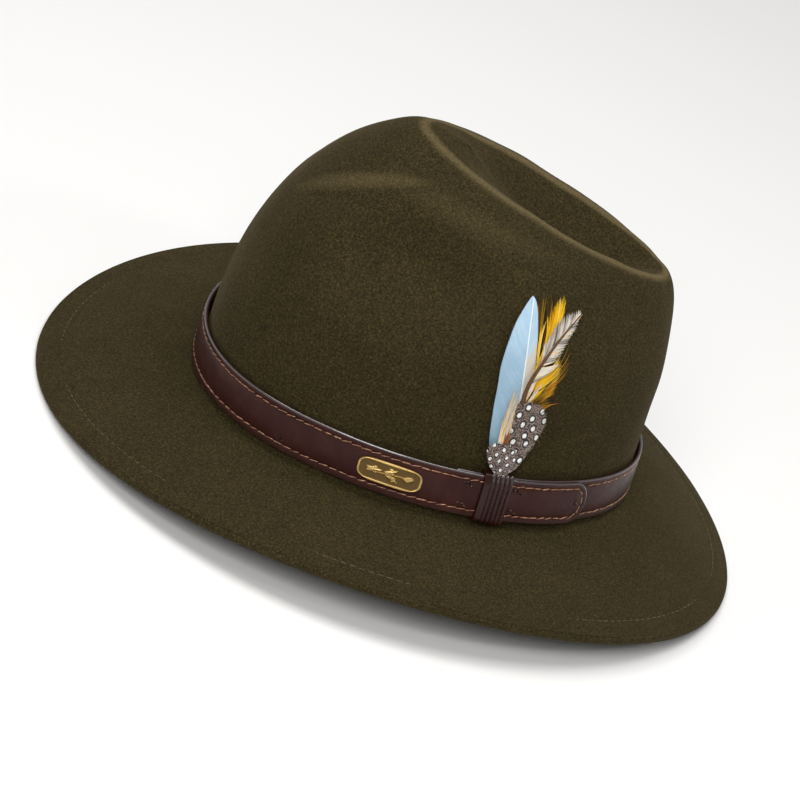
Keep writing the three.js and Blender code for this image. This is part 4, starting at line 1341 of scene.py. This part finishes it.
goose_quill = (
    (-4.2, 1.5), (-4.6, 17), (-6, 29.5), (-7.5, 39.5), (-9, 46), (-10.6, 54), (-11.9, 64), (-12, 74),
    (-12, 82),
)
goose_left = (
    (-6.2, 2), (-9, 7), (-12.6, 13), (-14.5, 18.5), (-15.8, 25), (-17.5, 33), (-19, 42), (-20.6, 50),
    (-20.9, 56), (-19.9, 63), (-17.9, 70.5), (-15.4, 76.5), (-13.4, 80.6), (-12, 82.4),
)
goose_right = (
    (-2, 2), (-1.6, 10), (-2, 17.5), (-3, 30), (-4.6, 39), (-5.6, 47.5), (-5.9, 55), (-7, 61.5), (-8.1, 70),
    (-9, 76), (-10.4, 80.8), (-12, 82.4),
)
goose_lift = 2.4
goose_barbs = 190
goose_chance = np.random.default_rng(3)
goose_share = np.linspace(0, 1, goose_barbs)
goose_tone = np.interp(goose_share, (0, 0.2, 0.32, 0.7, 1), (0.02, 0.1, 0.4, 0.46, 0.56))
cream_tone = np.interp(goose_share, (0, 0.54, 0.6, 0.76, 0.84, 1), (0.3, 0.5, 0.8, 0.78, 0.52, 0.56))
goose_barb = {
    "lift": goose_lift, "width": 0.85, "bow": 0.07, "stray": 0.02, "taper": 14, "mottle": 0.02,
    "looseness": 0.3,
}
goose_lines = vane_side(
    goose_left, goose_quill, goose_barbs, rake=17, chance=goose_chance,
    tone=goose_tone[:, None], camber=0.9, **goose_barb,
)
goose_lines += vane_side(
    goose_right, goose_quill, goose_barbs, rake=12, chance=goose_chance,
    tone=cream_tone[:, None], camber=0.5, **goose_barb,
)
goose_lines += quill_line(goose_quill, goose_lift + 0.2, wide=1.3, narrow=0.4, tone=1.0)
# Dyed goose horn, teal at the foot, pale blue grey in the vane and cream to white at the quill
goose_material = vane_material("dyed_goose_vane", (
    (0.0, "#6d949b"), (0.2, "#84a7b6"), (0.44, "#9bbad0"), (0.6, "#b4cddf"), (0.8, "#d3c8b4"),
    (1.0, "#e3edf2"),
), roughness=0.6, streak_size=7 * MILLIMETRE)
feather_piece(
    "goose_vane_and_quill", goose_lines, goose_material, "goose_feather",
    flatness=0.2, rounded=False,
)

# Yellow hackle
# A cock's neck feather dyed golden yellow, behind the others. Its loose glossy barbs spread in two fans,
# brown where the dye missed them, and single ones stand off.

lock_columns = ("roots", "tips", "barbs", "lift", "width", "tones", "bow", "shortest", "mottle")
yellow_quill = ((-4, 2), (0.6, 24.5), (-0.7, 42.5), (-2.8, 61))
yellow_lift = 1.1
yellow_locks = (
    # Brown fan beside the goose feather's tip, with golden streaks
    (((-5.6, 56), (-4.4, 60)), ((-9.4, 79), (-8.4, 83.5), (-5.4, 84), (-1.6, 83.6)), 60, 1.0, 0.34,
     (0.05, 0.4, 0.1, 0.12, 0.45, 0.15, 0.08, 0.5), 0.03, 0.86, 0.05),
    # Bright golden lock above it
    (((-4.6, 55), (-3.2, 58)), ((-6.2, 70), (-3.6, 75.5), (-0.6, 80.6), (2.6, 83.8)), 60, 1.3, 0.5,
     (0.74, 0.84, 0.56, 0.86), 0.05, 0.9, 0.09),
    (((-4.2, 55), (-2.4, 59)), ((-0.4, 81.4), (2.4, 83.8), (4.8, 83.4), (4.2, 79.6), (2.4, 73)), 90, 1.4, 0.5,
     (0.64, 0.86, 0.78, 0.88, 0.62, 0.86), 0.03, 0.92, 0.07),
    (((-3.4, 57), (-2.4, 60)), ((0.8, 68), (2.8, 73), (3.8, 78)), 12, 1.6, 0.32,
     (0.1, 0.3, 0.12), 0.03, 0.85, 0.05),
    # Pale foot of the upper locks
    (((-3.6, 41), (-3.6, 50)), ((-5.2, 57), (-3, 59.5), (-0.8, 61.5)), 50, 1.7, 0.6,
     (0.97, 0.84, 0.95), 0.02, 0.9, 0.05),
    # Golden fan on the right, darker towards its lower edge
    (((-0.4, 33), (-1.4, 47)), ((8.4, 42), (8.8, 47), (8.4, 52), (8, 57), (6.2, 60)), 110, 1.0, 0.52,
     (0.4, 0.66, 0.5, 0.8, 0.88, 0.8, 0.88), 0.03, 0.82, 0.07),
    (((-1.4, 36), (-2.2, 50)), ((3.6, 46), (4, 51), (4.4, 56)), 60, 1.5, 0.44,
     (0.78, 0.86, 0.7, 0.88), 0.03, 0.85, 0.05),
    (((0, 28), (0, 40)), ((7.6, 33), (9.6, 38), (10, 43.5)), 46, 0.8, 0.42,
     (0.3, 0.5, 0.2, 0.56), 0.05, 0.6, 0.05),
    (((0, 34), (0, 42)), ((6.4, 42), (7.4, 47), (7, 52)), 16, 1.5, 0.34, (0.1, 0.34, 0.14), 0.04, 0.8, 0.05),
    # Single barbs that stand off
    (((1, 40), (2, 49)), ((12, 54), (9.2, 66)), 4, 1.3, 0.3, (0.46, 0.56, 0.45), 0.08, 0.9, 0.05),
    (((3, 44), (4, 47)), ((12, 55), (10.2, 60)), 3, 1.3, 0.3, (0.5, 0.4), 0.1, 0.9, 0.05),
    (((6, 32), (6, 33)), ((13.2, 37.2), (12, 37)), 2, 1.3, 0.36, (0.5, 0.6), -0.16, 0.95, 0.05),
    (((5, 20), (6, 28)), ((12.2, 16.5), (12.6, 20), (12, 27.5)), 6, 1.3, 0.28,
     (0.3, 0.26, 0.36), -0.12, 0.85, 0.05),
)
yellow_chance = np.random.default_rng(11)
yellow_lines = quill_line(yellow_quill, yellow_lift, wide=0.9, narrow=0.4, tone=0.9)
for row in yellow_locks:
    yellow_lines += lock(dict(zip(lock_columns, row)), yellow_chance)
# Golden dye on glossy barbs, brown where it missed them
yellow_material = vane_material("dyed_cock_hackle", (
    (0.0, "#1f1204"), (0.2, "#553a08"), (0.36, "#a08000"), (0.52, "#cf8a00"), (0.66, "#f0b400"),
    (0.84, "#ffd000"), (0.98, "#f6dc8c"),
), roughness=0.5, streak_size=2.5 * MILLIMETRE)
feather_piece("yellow_hackle_barbs", yellow_lines, yellow_material, "yellow_hackle")

# Striped hackle
# A cream neck feather with a dark brown quill that bends over to the right. Barbs on its left are grey
# with dark streaks, those on its right long and glossy, and short cream down lies at its foot.

striped_foot = ((-4.6, 2), (-6.2, 35), (-6.5, 37))
striped_quill = (
    (-6.6, 36.4), (-7.2, 40.5), (-7.2, 45), (-6.2, 50.5), (-4, 56.5), (-1.2, 62.5), (2, 68), (6.4, 73.4),
    (11.2, 78.8),
)
striped_upper_quill = ((-4.6, 55), (-1.2, 62.5), (2, 68), (6.4, 73.4), (10.2, 77.8))
striped_lift = 3.7
striped_locks = (
    # Grey barbs on the left of the quill, streaked
    (striped_upper_quill, ((-2.4, 68), (-0.8, 73), (1.6, 76.6), (4.8, 78.2), (8, 79.2), (11.4, 79.8)),
     110, 3.6, 0.4, (0.72, 0.56, 0.7, 0.46, 0.72, 0.6, 0.78, 0.56, 0.82), 0.03, 0.86, 0.09),
    (((-3.8, 56.5), (-1.4, 62)), ((-4.4, 64), (-2.6, 69)), 30, 3.4, 0.36, (0.85, 0.6, 0.9), 0.03, 0.8, 0.09),
    # Long glossy barbs on its right
    (striped_upper_quill,
     ((2.4, 58), (4.6, 61.5), (6.6, 66), (8.8, 70.5), (10.2, 74), (11.6, 77), (11.8, 79.2)),
     130, 3.8, 0.42, (0.9, 0.62, 0.86, 0.84, 0.48, 0.86, 0.8, 0.5, 0.84, 0.86), 0.05, 0.88, 0.09),
    # White lock over the golden fan
    (((-6.2, 46), (-4.8, 54)), ((1.4, 53.6), (3.4, 55.2), (5, 57.2)), 60, 4.0, 0.46,
     (0.5, 0.86, 0.8, 0.86), 0.05, 0.85, 0.09),
    # Cream down beside the quill's foot
    (((-5, 36), (-6.6, 46)), ((-3.6, 46), (-3, 51), (-1.6, 56.5)), 60, 3.3, 0.5,
     (1.0, 0.86, 0.97), 0.03, 0.85, 0.09),
    (((-4.6, 35), (-3, 36)), ((-1.6, 44), (0.4, 48.5)), 30, 3.1, 0.42, (0.98, 0.7, 1.0), 0.03, 0.7, 0.09),
    # Cream and orange wisps in front of the goose feather
    (((-9.4, 11), (-5.4, 12)), ((-12.4, 36), (-12.6, 50), (-10.6, 46), (-8.6, 38)), 60, 4.3, 0.42,
     (0.88, 1.0, 0.95, 0.6, 1.0, 0.9), 0.02, 0.72, 0.09),
    (((-9.6, 10), (-8, 11)), ((-12.6, 28), (-9.8, 32)), 26, 4.6, 0.5, (0.86, 1.0, 0.9), 0.02, 0.75, 0.09),
    (((-7.4, 12), (-6.2, 13)), ((-9.4, 22), (-6.6, 24)), 22, 4.8, 0.44, (0.2, 0.16, 0.22), 0.02, 0.75, 0.02),
)
striped_chance = np.random.default_rng(19)
striped_lines = quill_line(striped_foot, striped_lift, wide=2.2, narrow=2.2, tone=0.1)
striped_lines += quill_line(striped_quill, striped_lift + 1.1, wide=2.3, narrow=0.5, tone=0.09)
for row in striped_locks:
    striped_lines += lock(dict(zip(lock_columns, row)), striped_chance)
# Undyed barbs from brown quill through grey streaks to cream down with orange in it
striped_material = vane_material("natural_cock_hackle", (
    (0.0, "#3d2819"), (0.12, "#6a4526"), (0.22, "#a8642c"), (0.36, "#5c5048"), (0.52, "#8f857b"),
    (0.68, "#cdc5b8"), (0.84, "#f0eadc"), (1.0, "#f1c67a"),
), roughness=0.5, streak_size=2.5 * MILLIMETRE)
feather_piece("striped_hackle_barbs", striped_lines, striped_material, "striped_hackle")

# Guinea fowl feathers
# Two short broad feathers in front, dark grey brown with fine wavy lines and rows of round white spots,
# each in a dark ring. The lower one is smaller and its spots are closer together.

guinea_columns = ("name", "node", "quill", "left", "right", "barbs", "lift", "spot_pitch_mm")
guinea_rows = (
    ("guinea_long_vane", "guinea_feather_long", ((-3, 1.5), (-2, 15.5), (-2.5, 28), (-3.2, 37)),
     ((-5, 2), (-5.2, 10), (-5.6, 17), (-6.9, 23), (-8.4, 29), (-9.2, 33.5), (-8, 36.8), (-3.2, 37.4)),
     ((-1.6, 1.6), (1.4, 5.4), (4.5, 10.4), (6.9, 17.5), (8.4, 23), (9.1, 28), (7.8, 32), (5.2, 35.6),
      (1.6, 37.2), (-3.2, 37.4)),
     110, 4.9, 5.4),
    ("guinea_short_vane", "guinea_feather_short", ((-5, 1.5), (-6.6, 6.5), (-8, 11), (-9, 15.6)),
     ((-8.8, 2), (-12.2, 5.6), (-14.6, 9.8), (-15.6, 13.4), (-14.2, 15.6), (-9, 16.4)),
     ((-2.2, 1.6), (-0.8, 4.4), (0.2, 8.6), (-0.6, 12.6), (-3.4, 15.4), (-9, 16.4)),
     70, 6.2, 3.9),
)
guinea_width = 0.66
guinea_rake = 8
guinea_line_pitch = 1.0 * MILLIMETRE
guinea_wave_size = 1.6 * MILLIMETRE
guinea_wave_share = 0.35
guinea_net_turn = math.radians(52)
guinea_net_scale = (1.12, 0.9, 1)
guinea_net_looseness = 0.3
guinea_spot_inside = 0.18
guinea_spot_outside = 0.235


def guinea_material(name, spot_pitch):
    """Matt barbs with white spots on a staggered net, each in a dark ring, on a ground of fine wavy lines."""
    material, shader = new_material(name, Roughness=0.62, IOR=1.54, Sheen_Weight=0.1, Sheen_Roughness=0.4)
    tree = material.node_tree
    flat = add_node(tree, "ShaderNodeAttribute", {"attribute_name": "flat"}).outputs["Vector"]
    turned = add_node(tree, "ShaderNodeMapping", inputs={
        "Vector": flat, "Rotation": (0, 0, guinea_net_turn), "Scale": guinea_net_scale,
    }).outputs["Vector"]
    spot = add_node(tree, "ShaderNodeTexVoronoi", {"voronoi_dimensions": "2D", "feature": "F1"}, {
        "Vector": turned, "Scale": 1 / spot_pitch, "Randomness": guinea_net_looseness,
    }).outputs["Distance"]
    wave = add_node(tree, "ShaderNodeTexNoise", inputs={
        "Vector": flat, "Scale": 1 / guinea_wave_size, "Detail": 2, "Roughness": 0.5,
    }).outputs["Fac"]
    phase = add_node(tree, "ShaderNodeMath", {"operation": "MULTIPLY_ADD"}, {
        0: wave, 1: guinea_wave_share, 2: spot,
    }).outputs["Value"]
    turn = add_node(tree, "ShaderNodeMath", {"operation": "MULTIPLY"}, {
        0: phase, 1: 2 * math.pi * spot_pitch / guinea_line_pitch,
    }).outputs["Value"]
    line = add_node(tree, "ShaderNodeMath", {"operation": "SINE"}, {0: turn}).outputs["Value"]
    dark_to_pale = add_node(tree, "ShaderNodeMapRange", inputs={"Value": line, "From Min": -1.0})
    ground = add_node(tree, "ShaderNodeValToRGB", inputs={"Fac": dark_to_pale.outputs["Result"]}, stops=(
        (0.3, "#40322d"), (0.7, "#9a867b"),
    )).outputs["Color"]
    ring = add_node(tree, "ShaderNodeValToRGB", inputs={"Fac": spot}, stops=(
        (0.29, "#241a17"), (0.37, "#ffffff"),
    )).outputs["Color"]
    ringed = add_node(tree, "ShaderNodeMix", {"data_type": "RGBA", "blend_type": "MULTIPLY"}, {
        0: 1.0, 6: ground, 7: ring,
    }).outputs[2]
    in_spot = add_node(tree, "ShaderNodeMapRange", inputs={
        "Value": spot, "From Min": guinea_spot_inside, "From Max": guinea_spot_outside,
        "To Min": 1.0, "To Max": 0.0,
    }).outputs["Result"]
    spotted = add_node(tree, "ShaderNodeMix", {"data_type": "RGBA"}, {
        0: in_spot, 6: ringed, 7: colour("#fbfaf6"),
    }).outputs[2]
    tree.links.new(spotted, shader.inputs["Base Color"])
    return material


for row in guinea_rows:
    guinea = dict(zip(guinea_columns, row))
    chance = np.random.default_rng(guinea["barbs"])
    barb = {
        "lift": guinea["lift"], "width": guinea_width, "tone": 0.5, "camber": 0.8, "bow": 0.1,
        "stray": 0.2, "taper": 6,
    }
    lines = vane_side(guinea["left"], guinea["quill"], guinea["barbs"], guinea_rake, chance, **barb)
    lines += vane_side(guinea["right"], guinea["quill"], guinea["barbs"], guinea_rake, chance, **barb)
    lines += quill_line(guinea["quill"], guinea["lift"] + 0.1, wide=0.9, narrow=0.3, tone=0.5)
    material = guinea_material(guinea["name"], guinea["spot_pitch_mm"] * MILLIMETRE)
    feather_piece(guinea["name"], lines, material, guinea["node"])

# Floor and light
# A plain pale floor in a pale room. The softest light comes from the camera's side, two softboxes hang
# above the hat, and a small lamp on the right puts bright spots on the leather's ribs and edges.

floor_size = 12
room_strength = 0.28

bpy.ops.mesh.primitive_plane_add(size=floor_size, location=(0, 0, 0))
floor = bpy.context.active_object
floor.name = "floor"
floor_material, floor_shader = new_material("pale_floor", Roughness=0.9)
floor_shader.inputs["Base Color"].default_value = colour("#f6f5f3")
floor.data.materials.append(floor_material)

world = bpy.data.worlds.new("soft_room")
world.use_nodes = True
world.node_tree.nodes["Background"].inputs["Color"].default_value = colour("#ffffff")
world.node_tree.nodes["Background"].inputs["Strength"].default_value = room_strength
bpy.context.scene.world = world
bpy.context.scene.view_settings.view_transform = "Standard"

# Places are right, up and back from the hat as the camera sees it, in metres
light_columns = ("name", "right", "up", "back", "size", "power")
light_rows = (
    ("front_softbox", 0, 0.4, 1.9, 0.9, 18),
    ("side_lamp", 1.6, 0.25, 1.15, 0.2, 2.5),
    ("top_softbox", 0, 1.6, 0.6, 0.7, 7),
    ("right_softbox", 0.9, 1.3, 0.7, 0.9, 12),
)
for row in light_rows:
    light = dict(zip(light_columns, row))
    lamp_data = bpy.data.lights.new(light["name"], "AREA")
    lamp_data.size = light["size"]
    lamp_data.energy = light["power"]
    lamp = bpy.data.objects.new(light["name"], lamp_data)
    arm = camera_right * light["right"] + camera_up * light["up"] + camera_back * light["back"]
    lamp.location = camera_target + arm
    lamp.rotation_euler = arm.to_track_quat("Z", "Y").to_euler()
    bpy.context.scene.collection.objects.link(lamp)
